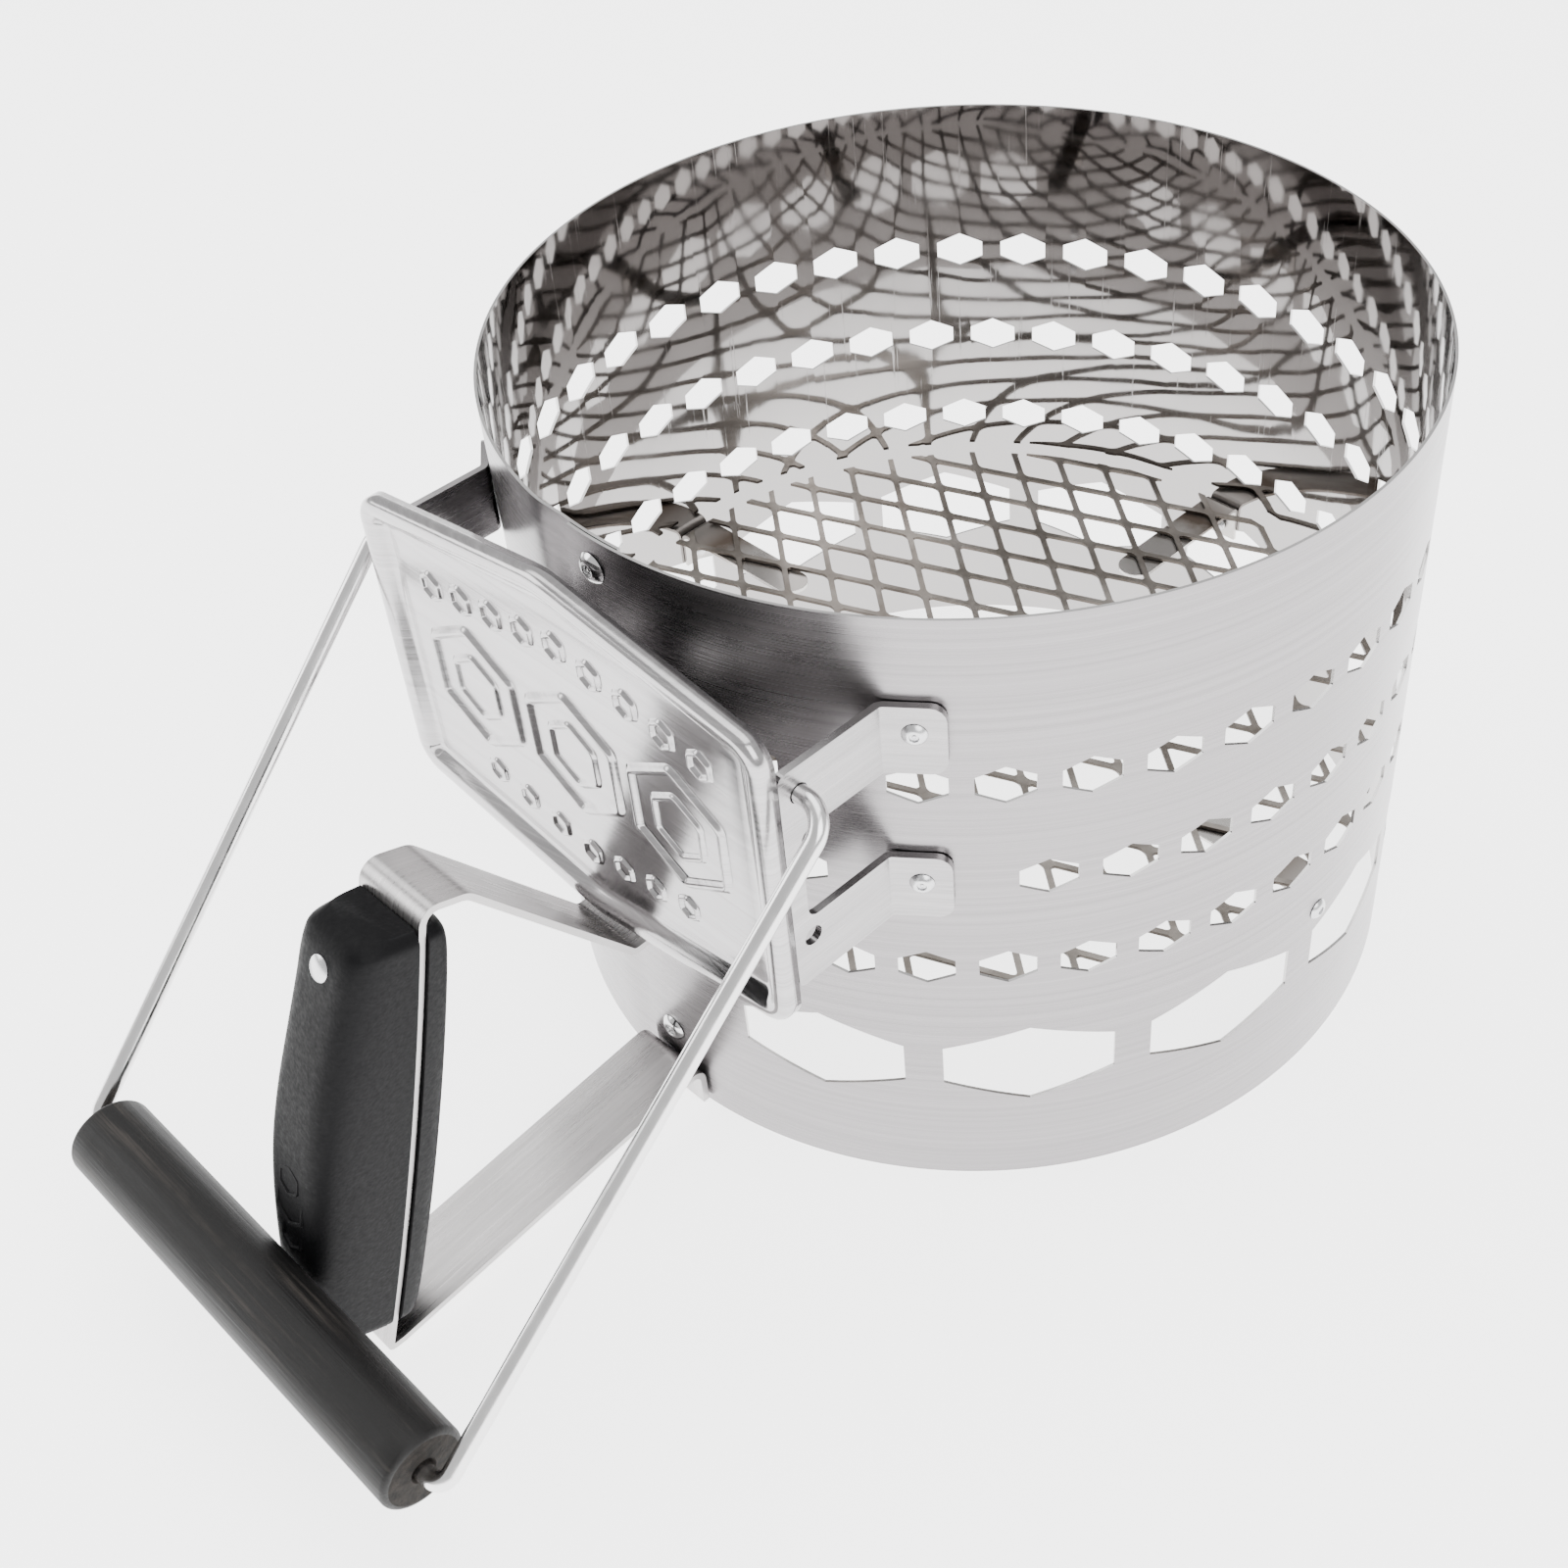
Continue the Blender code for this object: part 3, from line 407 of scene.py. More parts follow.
def make_grate(surface):
    """Expanded metal: open cells with rounded knuckles, strands that rise and fall, cut off at a circle."""
    turn = Matrix.Rotation(math.radians(MESH_TURN), 2)
    web = 0.0018 / math.sin(math.atan2(MESH_LONG, MESH_SHORT)) / 2
    long, short = MESH_LONG / 2 - web * MESH_LONG / MESH_SHORT, MESH_SHORT / 2 - web
    count = 120
    turns = [2 * math.pi * i / count for i in range(count)]
    points = [Vector((GRATE_RADIUS * math.cos(t), GRATE_RADIUS * math.sin(t))) for t in turns]
    edges = [(i, (i + 1) % count) for i in range(count)]
    cells = []
    for row in range(-18, 19):
        for column in range(-6, 7):
            centre = Vector(((column + (row % 2) / 2) * MESH_LONG, row * MESH_SHORT / 2))
            if centre.length > GRATE_RADIUS + MESH_LONG / 2:
                continue
            corners = [(long, 0.0), (0.0, short), (-long, 0.0), (0.0, -short)]
            outline = rounded(corners, [0.0010, 0.0036, 0.0010, 0.0036], 6)
            first = len(points)
            points += [turn @ (centre + spot) for spot in outline]
            edges += [(first + i, first + (i + 1) % len(outline)) for i in range(len(outline))]
            cells.append((centre, outline))
    verts, _, faces, *_ = delaunay_2d_cdt(points, edges, [], 0, 1e-8)
    inverse = turn.inverted()
    mesh = bmesh.new()
    low = GRATE_LOW.z
    thick = GRATE_HIGH.z - GRATE_LOW.z

    def lift(spot):
        flat = inverse @ spot
        a = 2 * math.pi * flat.x / MESH_LONG
        b = 2 * math.pi * flat.y / MESH_SHORT
        return 0.00042 * math.cos(a) * math.cos(b)

    placed = [mesh.verts.new((v.x, AXIS_Y + v.y, low + 0.0004 + lift(v))) for v in verts]
    for face in faces:
        middle = sum((verts[i] for i in face), Vector((0.0, 0.0))) / len(face)
        if middle.length > GRATE_RADIUS * math.cos(math.pi / count):
            continue
        flat = inverse @ middle
        near = [(centre, outline) for centre, outline in cells if (flat - centre).length < MESH_LONG / 2]
        if not any(inside_outline(flat - centre, outline) for centre, outline in near):
            mesh.faces.new([placed[i] for i in face])
    keep_largest(mesh)
    lifted = bmesh.ops.extrude_face_region(mesh, geom=list(mesh.faces))["geom"]
    top = [item for item in lifted if isinstance(item, bmesh.types.BMVert)]
    bmesh.ops.translate(mesh, vec=(0.0, 0.0, thick - 0.0008), verts=top)
    obj = link("grate_mesh", mesh, surface, nodes=["grate"], angle=35)
    bevel = obj.modifiers.new("worn_edges", "BEVEL")
    bevel.width = 0.00035
    bevel.segments = 2
    bevel.limit_method = "ANGLE"
    bevel.angle_limit = math.radians(50)


def inside_outline(spot, outline):
    crossings = False
    for one, other in zip(outline, outline[1:] + outline[:1]):
        if (one.y > spot.y) != (other.y > spot.y):
            if spot.x < (other.x - one.x) * (spot.y - one.y) / (other.y - one.y) + one.x:
                crossings = not crossings
    return crossings


def keep_largest(mesh):
    left, largest = set(mesh.faces), set()
    while left:
        piece, queue = set(), [left.pop()]
        while queue:
            face = queue.pop()
            piece.add(face)
            beside = {other for edge in face.edges for other in edge.link_faces} & left
            left -= beside
            queue += beside
        largest = max(largest, piece, key=len)
    bmesh.ops.delete(mesh, geom=[face for face in mesh.faces if face not in largest], context="FACES")
    bmesh.ops.delete(mesh, geom=[vert for vert in mesh.verts if not vert.link_faces], context="VERTS")


# ---------------------------------------------------------------- main grip

GRIP_TOP, GRIP_BOTTOM, GRIP_BOW = Vector((0.1976, 0.1312)), Vector((0.2370, 0.0075)), 0.0018
SHELL_START, SHELL_SPAN = 0.008, 0.962
OUTER = ((0.0, 0.0125), (0.006, 0.0150), (0.02, 0.0174), (0.06, 0.0193), (0.13, 0.0208), (0.25, 0.0234),
         (0.38, 0.0258), (0.50, 0.0268), (0.62, 0.0262), (0.75, 0.0242), (0.88, 0.0213), (0.95, 0.0190),
         (0.985, 0.0160), (1.0, 0.0115))
INNER = ((0.0, 0.0050), (0.01, 0.0068), (0.03, 0.0082), (0.07, 0.0092), (0.20, 0.0098), (0.50, 0.0100),
         (0.80, 0.0095), (0.94, 0.0088), (0.98, 0.0072), (1.0, 0.0048))


def grip_point(share):
    """A point on the strap's middle line under the grip, in reach and height, and the direction out of it."""
    along = (GRIP_TOP - GRIP_BOTTOM).normalized()
    across = Vector((along.y, -along.x))
    bow = 4 * share * (1 - share) * GRIP_BOW
    slope = 4 * (1 - 2 * share) * GRIP_BOW / (GRIP_TOP - GRIP_BOTTOM).length
    point = GRIP_TOP.lerp(GRIP_BOTTOM, share) - across * bow
    return point, (across + along * (-slope)).normalized()


def smooth_profile(profile, share):
    """Reads a profile through its points with a smooth curve."""
    index = next((i for i in range(len(profile) - 1) if share <= profile[i + 1][0]), len(profile) - 2)
    (x0, y0), (x1, y1) = profile[index], profile[index + 1]
    before = profile[max(index - 1, 0)]
    after = profile[min(index + 2, len(profile) - 1)]
    slope0 = (y1 - before[1]) / max(x1 - before[0], 1e-6)
    slope1 = (after[1] - y0) / max(after[0] - x0, 1e-6)
    t = (share - x0) / (x1 - x0)
    span = x1 - x0
    start = (2 * t**3 - 3 * t**2 + 1) * y0 + (t**3 - 2 * t**2 + t) * slope0 * span
    return start + (3 * t**2 - 2 * t**3) * y1 + (t**3 - t**2) * slope1 * span


def shell_section(near, far, outer, half=0.0130, count=26):
    """Half-round section: upright sides that lean in a little and a crowned back with round shoulders."""
    found = []
    for step in range(count + 1):
        turn = math.pi * step / count
        power = 0.42 if outer else 0.5
        x = -math.copysign(abs(math.cos(turn)) ** power, math.cos(turn))
        y = max(math.sin(turn), 0.0) ** (power * 1.05)
        lean = 1.0 - (0.05 if outer else 0.02) * y
        found.append((half * x * lean, near + (far - near) * y))
    return found


def make_shell(name, surface, outer):
    near = 0.0010 + GAP
    profile = OUTER if outer else INNER
    mesh = bmesh.new()
    rings = []
    steps = 90
    for step in range(steps + 1):
        share = 0.5 - 0.5 * math.cos(math.pi * step / steps)
        point, outward = grip_point(SHELL_START + SHELL_SPAN * share)
        if not outer:
            outward = -outward
        end = min(share, 1.0 - share)
        half = 0.0130 - 0.0022 * (1.0 - ease(end, 0.0, 0.035)) ** 2
        ring = []
        for across, away in shell_section(near, smooth_profile(profile, share), outer, half):
            spot = point + outward * away
            ring.append(mesh.verts.new((across, AXIS_Y - spot.x, spot.y)))
        rings.append(ring)
    for one, other in zip(rings, rings[1:]):
        for i in range(len(one)):
            j = (i + 1) % len(one)
            mesh.faces.new((one[i], one[j], other[j], other[i]))
    mesh.faces.new(rings[0])
    mesh.faces.new(rings[-1])
    obj = link(name + "_piece", mesh, surface, nodes=[name], angle=40)
    bevel = obj.modifiers.new("mould_edges", "BEVEL")
    bevel.width = 0.0007
    bevel.segments = 3
    bevel.limit_method = "ANGLE"
    bevel.angle_limit = math.radians(48)
    return obj


def make_pins(metal):
    """The two pins: a shank right through the grip, with a flat head that lies flush with each shell."""
    length = (GRIP_TOP - GRIP_BOTTOM).length * SHELL_SPAN
    for name, share in (("grip_pin_upper", 0.080), ("grip_pin_lower", 0.83)):
        u = (share - SHELL_START) / SHELL_SPAN
        point, outward = grip_point(share)
        middle = Vector((0.0, AXIS_Y - point.x, point.y))
        away = Vector((0.0, -outward.x, outward.y))
        along = Vector((1.0, 0.0, 0.0))
        down = along.cross(away)
        down = down if down.z < 0.0 else -down
        mesh = bmesh.new()
        for profile, side in ((OUTER, 1.0), (INNER, -1.0)):
            depth = smooth_profile(profile, u)
            slope = (smooth_profile(profile, u + 0.02) - smooth_profile(profile, u - 0.02)) / (0.04 * length)
            normal = (away * side - down * slope).normalized()
            place = Matrix((along, normal.cross(along), normal)).transposed().to_4x4()
            place.translation = middle + away * side * depth
            head = [(0.0, -0.0020), (0.0034, -0.0020), (0.0034, 0.00005), (0.0031, 0.0003), (0.0, 0.00038)]
            turned(head, place, 40, mesh)
            place = Matrix((along, (away * side).cross(along), away * side)).transposed().to_4x4()
            place.translation = middle
            shank = [(0.0, -0.0002), (0.0020, -0.0002), (0.0020, depth - 0.0016), (0.0, depth - 0.0016)]
            turned(shank, place, 24, mesh)
        link(name + "_piece", mesh, metal, nodes=[name], angle=40)


def make_badge(surface):
    """Three raised hexagonal rings on the outer shell's back: a generic mark."""
    mesh = bmesh.new()
    for share, size in ((0.62, 0.0050), (0.70, 0.0036), (0.555, 0.0036)):
        u = (share - SHELL_START) / SHELL_SPAN
        point, outward = grip_point(share)
        along = Vector((-outward.y, outward.x))
        spot = point + outward * (smooth_profile(OUTER, u) - 0.00025)
        place = Matrix(((1, 0, 0), (0, along.x * -1, -outward.x), (0, along.y, outward.y))).to_4x4()
        place.translation = Vector((0.0, AXIS_Y - spot.x, spot.y))
        outline = hexagon_outline(size, size * 1.15)
        count = len(outline)
        rows = []
        for offset, lift in ((-0.0006, 0.0), (-0.0003, 0.0005), (0.0003, 0.0005), (0.0006, 0.0)):
            row = []
            for i in range(count):
                along_edge = (outline[(i + 1) % count] - outline[i - 1]).normalized()
                side = Vector((along_edge.y, -along_edge.x))
                flat = outline[i] + side * offset
                row.append(mesh.verts.new(place @ Vector((flat.x, flat.y, lift))))
            rows.append(row)
        for one, other in zip(rows, rows[1:] + rows[:1]):
            for i in range(count):
                j = (i + 1) % count
                mesh.faces.new((one[i], one[j], other[j], other[i]))
    link("grip_mark", mesh, surface, angle=50)


# ---------------------------------------------------------------- bail

def circle(sides):
    turns = [2 * math.pi * i / sides for i in range(sides)]
    return [(math.cos(t), math.sin(t)) for t in turns]


def make_wire(metal, pivot, grip):
    """The bail: two ends in through the brackets, two legs, and a straight run through the grip."""
    span, down, level = (grip - pivot).length, (grip - pivot).normalized(), Vector((1, 0, 0))
    inner, outer, low, radius = 0.0675, 0.0830, 0.0764, 0.0024
    half = [(inner, 0.0), (outer, 0.0), (low, span)]
    corners = half + [(-x, y) for x, y in reversed(half)]
    route = bent(corners, [0.0075, 0.0050, 0.0050, 0.0075], 14)
    places = [pivot + level * spot.x + down * spot.y for spot in route]
    normal = level.cross(down).normalized()
    neighbours = zip([places[0]] + places, places[1:] + [places[-1]])
    headings = [(after - before).normalized() for before, after in neighbours]
    stations = [(place, heading, 1.0) for place, heading in zip(places, headings)]
    first, last = stations[0], stations[-1]
    ends = [(0.0, 0.35), (0.0002, 0.7), (0.0006, 0.93), (0.0012, 1.0)]
    opening = [(first[0] + first[1] * depth, first[1], size) for depth, size in ends]
    closing = [(last[0] - last[1] * depth, last[1], size) for depth, size in reversed(ends)]
    mesh = bmesh.new()
    rings = []
    sides = 28
    for place, ahead, size in opening + stations[1:-1] + closing:
        across = ahead.cross(normal).normalized()
        spots = [place + (across * c + normal * s) * radius * size for c, s in circle(sides)]
        rings.append([mesh.verts.new(spot) for spot in spots])
    for one, other in zip(rings, rings[1:]):
        for i in range(sides):
            j = (i + 1) % sides
            mesh.faces.new((one[i], one[j], other[j], other[i]))
    mesh.faces.new(rings[0])
    mesh.faces.new(rings[-1])
    link("bail_wire_piece", mesh, metal, "bail", ["bail_wire"], angle=50)


def make_wood_grip(wood, end_grain, grip):
    """A turned wooden tube with eased ends; its two ends are open a little way round the wire."""
    bore, full, ease_radius = 0.0030, 0.0111, 0.0016
    half, sides = 0.139 / 2, 72
    face = full - ease_radius
    turns = (0.3, 0.6, 0.9, 1.2, 1.5)
    arc = [(face + ease_radius * math.sin(a), ease_radius * (1 - math.cos(a))) for a in turns]
    end = [(bore, 0.004), (bore, 0.0006), (bore + 0.0004, 0.0), (face, 0.0)] + arc
    profile = [(r, -half + x) for r, x in end]
    profile += [(full, half * (k / 10 - 1)) for k in range(1, 20)]
    profile += [(r, half - x) for r, x in reversed(end)]
    mesh = bmesh.new()
    rings = []
    for r, x in profile:
        spots = [(grip.x + x, grip.y + r * c, grip.z + r * s) for c, s in circle(sides)]
        rings.append([mesh.verts.new(spot) for spot in spots])
    for index, (one, other) in enumerate(zip(rings, rings[1:] + rings[:1])):
        for i in range(sides):
            j = (i + 1) % sides
            made = mesh.faces.new((one[i], one[j], other[j], other[i]))
            made.material_index = 1 if index < 3 or index > len(rings) - 5 else 0
    surfaces = [wood, end_grain]
    link("wood_grip_piece", mesh, surfaces, "bail_grip", ["wood_grip"], angle=40)


def make_bail(metal, wood, end_grain):
    places = {joint["name"]: Vector(joint["pos_m"]) for joint in frame["joints"]}
    make_wire(metal, places["bail_swing"], places["grip_spin"])
    make_wood_grip(wood, end_grain, places["grip_spin"])


# ---------------------------------------------------------------- materials

class Nodes:
    """Small helper for writing node trees."""

    def __init__(self, name):
        self.material = bpy.data.materials.new(name)
        self.material.use_nodes = True
        self.tree = self.material.node_tree
        self.shader = self.tree.nodes["Principled BSDF"]

    def add(self, kind, settings=None, **inputs):
        node = self.tree.nodes.new(kind)
        for key, value in (settings or {}).items():
            setattr(node, key, value)
        for key, value in inputs.items():
            numbered = key[0] == "i" and key[1:].isdigit()
            self.put(node.inputs[int(key[1:]) if numbered else key.replace("_", " ")], value)
        return node

    def put(self, socket, value):
        if isinstance(value, bpy.types.NodeSocket):
            self.tree.links.new(value, socket)
        else:
            socket.default_value = value

    def math(self, operation, a, b=0.0, c=0.0):
        return self.add("ShaderNodeMath", {"operation": operation}, i0=a, i1=b, i2=c).outputs[0]

    def remap(self, value, a, b, c, d):
        return self.add("ShaderNodeMapRange", None, i0=value, i1=a, i2=b, i3=c, i4=d).outputs[0]

    def mix(self, factor, a, b):
        node = self.add("ShaderNodeMix", {"data_type": "RGBA"})
        self.put(node.inputs[0], factor)
        self.put(node.inputs[6], (*a, 1.0) if isinstance(a, tuple) and len(a) == 3 else a)
        self.put(node.inputs[7], (*b, 1.0) if isinstance(b, tuple) and len(b) == 3 else b)
        return node.outputs[2]

    def noise(self, vector, scale, detail=4.0, rough=0.5):
        settings = {"Vector": vector, "Scale": scale, "Detail": detail, "Roughness": rough}
        return self.add("ShaderNodeTexNoise", **settings).outputs[0]

    def place(self, scale=(1, 1, 1)):
        coordinates = self.add("ShaderNodeTexCoord").outputs["Object"]
        return self.add("ShaderNodeMapping", None, Vector=coordinates, Scale=scale).outputs[0]

    def rolled(self, scale_around, scale_up):
        """Coordinates unrolled from the drum: along the wall, then up it."""
        parts = self.add("ShaderNodeSeparateXYZ", None, i0=self.add("ShaderNodeTexCoord").outputs["Object"])
        y = self.math("SUBTRACT", parts.outputs[1], AXIS_Y)
        turn = self.math("ARCTAN2", parts.outputs[0], y)
        around_wall = self.math("MULTIPLY", turn, R * scale_around)
        up = self.math("MULTIPLY", parts.outputs[2], scale_up)
        return self.add("ShaderNodeCombineXYZ", None, i0=around_wall, i1=up).outputs[0]

    def bump(self, height, distance, strength=1.0, normal=None):
        node = self.add("ShaderNodeBump", None, Strength=strength, Distance=distance, Height=height)
        if normal is not None:
            self.put(node.inputs["Normal"], normal)
        return node.outputs[0]

    def set(self, **values):
        for key, value in values.items():
            name = key.replace("_", " ")
            if isinstance(value, tuple) and len(value) == 3:
                value = (*value, 1.0)
            self.put(self.shader.inputs[name], value)
        return self.material


def brushed_steel(name, colour, grain, roughness, spread, depth, anisotropy=0.0):
    """Brushed stainless. The argument grain stretches the coordinates along the brushing."""
    n = Nodes(name)
    lines = grain(n)
    streak = n.noise(lines, 1.0, 7.0, 0.62)
    bands = n.noise(lines, 0.20, 5.0, 0.62)
    cloud = n.noise(n.place((1, 1, 1)), 14.0, 3.0)
    fine = n.remap(streak, 0.30, 0.70, roughness - spread, roughness + spread)
    rough = n.math("ADD", fine, n.remap(cloud, 0.35, 0.65, -0.05, 0.05))
    share = n.math("ADD", n.math("MULTIPLY", streak, 0.5), n.math("MULTIPLY", bands, 0.5))
    dark, light = tuple(c * 0.82 for c in colour), tuple(c * 1.13 for c in colour)
    tone = n.mix(n.remap(share, 0.36, 0.64, 0.0, 1.0), dark, light)
    n.set(Base_Color=tone, Metallic=1.0, Roughness=rough, Normal=n.bump(streak, depth, 0.6))
    if anisotropy:
        tangent = n.add("ShaderNodeTangent", {"direction_type": "RADIAL", "axis": "Z"}).outputs[0]
        n.set(Anisotropic=anisotropy, Tangent=tangent)
    return n.material


def wall_inside(name):
    """The drum's inner face: hardly brushed, with painted shade that darkens it towards the rim, faintly
    scratched and wavy.
    """
    n = Nodes(name)
    scratch = n.noise(n.rolled(900, 12), 1.0, 5.0, 0.7)
    scratch = n.remap(scratch, 0.62, 0.74, 0.0, 1.0)
    wave = n.noise(n.rolled(26, 20), 1.0, 1.0)
    smear = n.noise(n.rolled(40, 40), 1.0, 4.0)
    rough = n.math("ADD", n.remap(smear, 0.3, 0.7, 0.025, 0.065), n.math("MULTIPLY", scratch, 0.10))
    up = n.add("ShaderNodeSeparateXYZ", None, i0=n.add("ShaderNodeTexCoord").outputs["Object"]).outputs[2]
    # Painted shade: the wall's colour goes from light low down to dark towards the rim.
    shade = n.remap(n.math("ADD", up, n.math("MULTIPLY", smear, 0.02)), 0.095, 0.190, 0.0, 1.0)
    wood_wear_and_wall_shade = n.mix(shade, (0.40, 0.386, 0.380), (0.125, 0.115, 0.111))
    tone = n.mix(n.math("MULTIPLY", scratch, 0.6), wood_wear_and_wall_shade, (0.46, 0.445, 0.435))
    normal = n.bump(wave, 0.00045, 0.6)
    normal = n.bump(scratch, 0.000006, 0.6, normal)
    return n.set(Base_Color=tone, Metallic=1.0, Roughness=rough, Normal=normal)


def plain_metal(name, colour, roughness, scale=60.0, spread=0.06):
    n = Nodes(name)
    cloud = n.noise(n.place(), scale, 4.0)
    rough = n.remap(cloud, 0.3, 0.7, roughness - spread, roughness + spread)
    return n.set(Base_Color=colour, Metallic=1.0, Roughness=rough)


def mesh_steel(name):
    n = Nodes(name)
    up = n.add("ShaderNodeSeparateXYZ", None, i0=n.add("ShaderNodeNewGeometry").outputs["Normal"]).outputs[2]
    stain = n.noise(n.place(), 35.0, 5.0, 0.6)
    grit = n.noise(n.place(), 900.0, 3.0)
    # Painted light: faces that point up get the lighter colours as painted highlight, and the strands' sides
    # get the darker ones as painted shade.
    side = n.mix(n.remap(stain, 0.35, 0.65, 0.0, 1.0), (0.055, 0.047, 0.040), (0.12, 0.103, 0.090))
    top = n.mix(n.remap(stain, 0.35, 0.65, 0.0, 1.0), (0.17, 0.150, 0.132), (0.40, 0.370, 0.340))
    colour = n.mix(n.remap(up, 0.55, 0.98, 0.0, 1.0), side, top)
    rough = n.remap(grit, 0.3, 0.7, 0.30, 0.48)
    return n.set(Base_Color=colour, Metallic=0.95, Roughness=rough, Normal=n.bump(grit, 0.00006, 0.5))


def tab_steel(name):
    """Tab steel with painted shade: a dark brown band on the tabs towards their roots at the wall, where the
    steel is also rougher.
    """
    n = Nodes(name)
    parts = n.add("ShaderNodeSeparateXYZ", None, i0=n.add("ShaderNodeTexCoord").outputs["Object"])
    y = n.math("SUBTRACT", parts.outputs[1], AXIS_Y)
    x = parts.outputs[0]
    radius = n.math("SQRT", n.math("ADD", n.math("MULTIPLY", x, x), n.math("MULTIPLY", y, y)))
    # Painted shade: the tabs turn dark brown in a band near the wall, and this fades again right at the wall.
    shade_edge_noise = n.noise(n.place(), 120.0, 5.0, 0.65)
    painted_shade_mask = n.remap(n.math("ADD", radius, n.math("MULTIPLY", shade_edge_noise, 0.012)), 0.104, 0.116, 0.0, 1.0)
    fade = n.remap(radius, 0.112, 0.124, 1.0, 0.25)
    painted_shade_mask = n.math("MULTIPLY", painted_shade_mask, fade)
    colour = n.mix(painted_shade_mask, (0.62, 0.60, 0.58), (0.15, 0.118, 0.096))
    return n.set(Base_Color=colour, Metallic=1.0, Roughness=n.remap(painted_shade_mask, 0.0, 1.0, 0.26, 0.5))


def grip_plastic(name):
    n = Nodes(name)
    voronoi = n.add("ShaderNodeTexVoronoi", {"feature": "SMOOTH_F1"}, Vector=n.place(), Scale=1150.0)
    cells = voronoi.outputs["Distance"]
    grain = n.noise(n.place(), 700.0, 4.0, 0.6)
    height = n.math("ADD", n.math("MULTIPLY", cells, 0.7), n.math("MULTIPLY", grain, 0.5))
    rough = n.remap(grain, 0.3, 0.7, 0.42, 0.60)
    colour = (0.0026, 0.0026, 0.0031)
    normal = n.bump(height, 0.00012, 0.55)
    return n.set(Base_Color=colour, Roughness=rough, Specular_IOR_Level=0.11, Normal=normal)


def stained_wood(name, ends):
    n = Nodes(name)
    if ends:
        grain = n.noise(n.place((400, 400, 400)), 1.0, 6.0, 0.7)
        colour = n.mix(n.remap(grain, 0.35, 0.65, 0.0, 1.0), (0.004, 0.0035, 0.003), (0.022, 0.018, 0.015))
        normal = n.bump(grain, 0.0005, 0.8)
        return n.set(Base_Color=colour, Roughness=0.8, Specular_IOR_Level=0.2, Normal=normal)
    grain = n.noise(n.place((14, 420, 420)), 1.0, 7.0, 0.68)
    pores = n.noise(n.place((55, 1500, 1500)), 1.0, 3.0, 0.6)
    wood_wear_and_wall_shade = n.noise(n.place((22, 55, 55)), 1.0, 4.0, 0.6)
    mask = n.math("MULTIPLY", n.remap(grain, 0.50, 0.68, 0.0, 1.0), n.remap(wood_wear_and_wall_shade, 0.42, 0.64, 0.10, 1.0))
    colour = n.mix(mask, (0.0050, 0.0047, 0.0046), (0.050, 0.043, 0.038))
    height = n.math("ADD", n.math("MULTIPLY", grain, 0.6), n.math("MULTIPLY", pores, 0.5))
    rough = n.remap(grain, 0.3, 0.7, 0.42, 0.62)
    normal = n.bump(height, 0.00035, 0.6)
    return n.set(Base_Color=colour, Roughness=rough, Specular_IOR_Level=0.26, Normal=normal)


# ---------------------------------------------------------------- stage

def stage():
    mesh = bmesh.new()
    bmesh.ops.create_grid(mesh, x_segments=1, y_segments=1, size=30.0)
    data = bpy.data.meshes.new("floor")
    mesh.to_mesh(data)
    mesh.free()
    n = Nodes("floor")
    glow = {"Emission_Color": (1.0, 1.0, 1.0), "Emission_Strength": 2.9}
    n.set(Base_Color=(0.93, 0.93, 0.93), Roughness=0.85, Specular_IOR_Level=0.1, **glow)
    data.materials.append(n.material)
    floor = bpy.data.objects.new("floor", data)
    floor.location = (0, 0, -0.0002)
    bpy.context.scene.collection.objects.link(floor)

    world = bpy.data.worlds.new("studio")
    bpy.context.scene.world = world
    world.use_nodes = True
    tree = world.node_tree
    back = tree.nodes["Background"]
    coordinates = tree.nodes.new("ShaderNodeTexCoord")
    split = tree.nodes.new("ShaderNodeSeparateXYZ")
    tree.links.new(coordinates.outputs["Generated"], split.inputs[0])
    ramp = tree.nodes.new("ShaderNodeMapRange")
    for socket, value in zip(list(ramp.inputs)[1:5], (0.0, 0.95, 0.95, 0.85)):
        socket.default_value = value
    tree.links.new(split.outputs[2], ramp.inputs[0])
    tree.links.new(ramp.outputs[0], back.inputs["Strength"])
    back.inputs["Color"].default_value = (1.0, 1.0, 1.0, 1.0)

    def light(name, place, aim, size, power):
        lamp = bpy.data.lights.new(name, "AREA")
        lamp.shape = "SQUARE"
        lamp.size = size
        lamp.energy = power
        obj = bpy.data.objects.new(name, lamp)
        obj.location = place
        obj.rotation_euler = (Vector(aim) - Vector(place)).to_track_quat("-Z", "Y").to_euler()
        bpy.context.scene.collection.objects.link(obj)

    light("key", (1.3, -0.2, 1.3), (0, 0.05, 0.1), 1.2, 22)
    light("top", (0.0, 0.3, 1.8), (0, 0.05, 0.1), 1.4, 18)
    light("left", (-1.2, -0.9, 0.9), (0, -0.05, 0.1), 0.9, 11)
    light("left_top", (-1.25, 0.15, 1.75), (0, -0.1, 0.05), 0.9, 7)


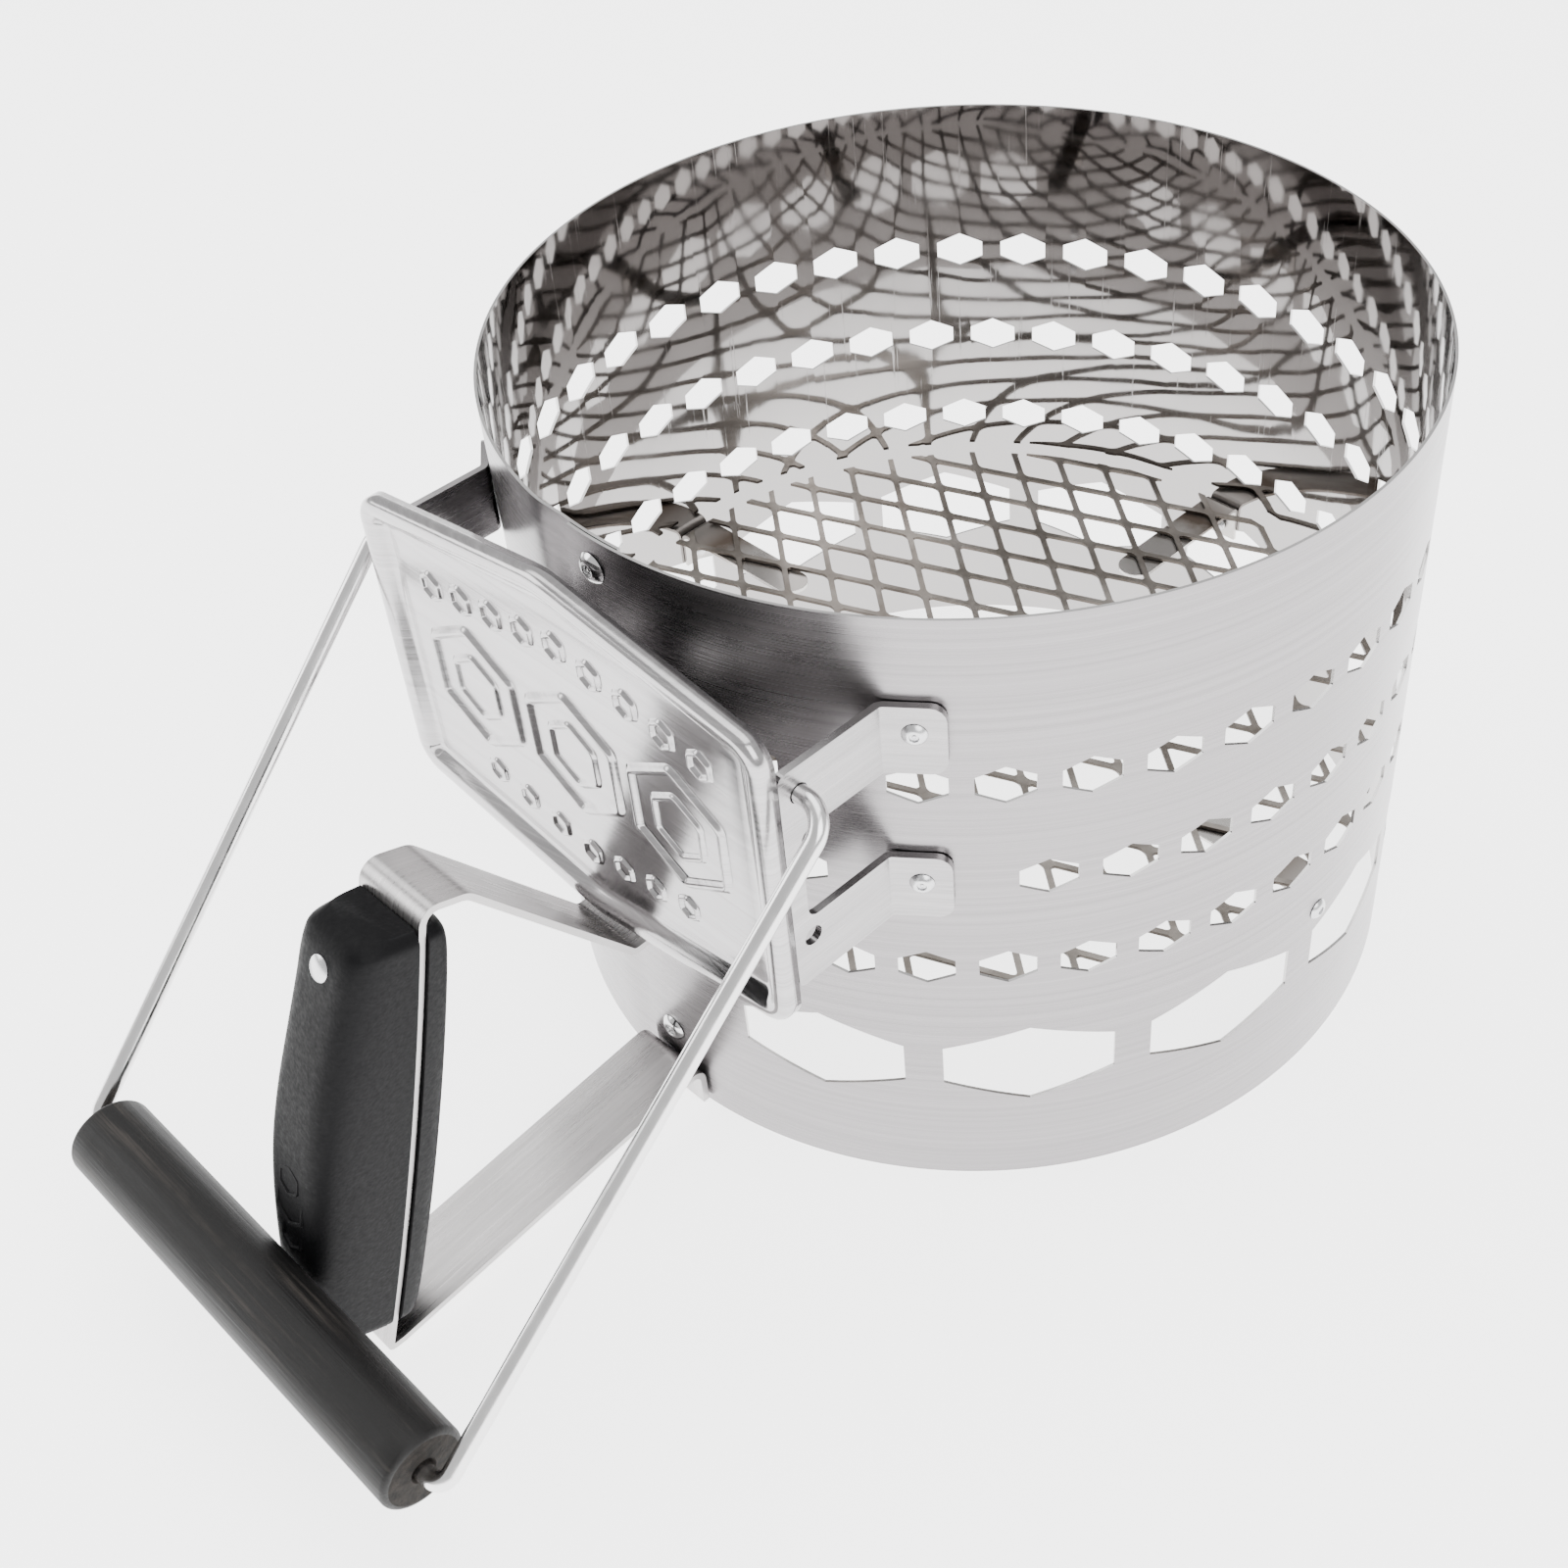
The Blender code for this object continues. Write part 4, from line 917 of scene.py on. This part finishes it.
def camera():
    elevation, azimuth, roll = math.radians(40.92), math.radians(-44.0), math.radians(-3.32)
    flat = math.cos(elevation)
    back = Vector((math.cos(azimuth) * flat, math.sin(azimuth) * flat, math.sin(elevation)))
    level = Vector((0.6947, 0.7193, 0.0))
    over = back.cross(level)
    right = math.cos(roll) * level + math.sin(roll) * over
    up = -math.sin(roll) * level + math.cos(roll) * over
    made = Matrix((right, up, back)).transposed().to_4x4()
    made.translation = Vector((0.3229, -0.3418 + AXIS_Y, 0.4726))
    data = bpy.data.cameras.new("camera")
    data.sensor_width, data.lens = 36.0, 46.95
    data.shift_x, data.shift_y = -0.0743, -0.0545
    data.clip_start, data.clip_end = 0.01, 100.0
    obj = bpy.data.objects.new("camera", data)
    obj.matrix_world = made
    bpy.context.scene.collection.objects.link(obj)
    bpy.context.scene.camera = obj


# ---------------------------------------------------------------- assembly

steel = (0.297, 0.283, 0.288)
outside = brushed_steel("drum_outside", steel, lambda n: n.rolled(3.5, 3000.0), 0.27, 0.06, 0.000009, 0.55)
inside = wall_inside("drum_inside")
edge_metal = plain_metal("cut_edges", (0.60, 0.59, 0.585), 0.25)
plate, strap, arm = (0.44, 0.428, 0.432), (0.45, 0.436, 0.434), (0.37, 0.358, 0.361)
shield_metal = brushed_steel("shield_steel", plate, lambda n: n.place((6, 60, 2200)), 0.19, 0.05, 0.000010)
strap_metal = brushed_steel("strap_steel", strap, lambda n: n.place((1500, 40, 40)), 0.30, 0.10, 0.000035)
bracket_metal = brushed_steel("bracket_steel", arm, lambda n: n.place((60, 60, 1800)), 0.26, 0.07, 0.000010)
wire_metal = plain_metal("wire_steel", (0.74, 0.73, 0.73), 0.20, 160.0)
chrome = plain_metal("rivet_bright", (0.66, 0.66, 0.66), 0.14, 200.0, 0.03)
dull = plain_metal("rivet_aluminium", (0.62, 0.62, 0.63), 0.28, 200.0)
plastic = grip_plastic("grip_plastic")

make_drum(outside, inside, edge_metal)
make_shield(shield_metal)
make_rivets(chrome, dull)
make_grate(mesh_steel("mesh_steel"))
tab_metal = tab_steel("tab_steel")
for side in ("handle", "right", "far", "left"):
    refine("grate_tab_" + side, tab_metal, 0.0002)
refine("handle_strap", strap_metal, 0.0004)
for side in ("right", "left"):
    refine("bracket_" + side, bracket_metal, 0.0002)
make_pins(dull)
make_shell("grip_shell_outer", plastic, True)
make_shell("grip_shell_inner", plastic, False)
make_badge(plastic)
make_bail(wire_metal, stained_wood("wood_side", False), stained_wood("wood_end", True))
stage()
camera()
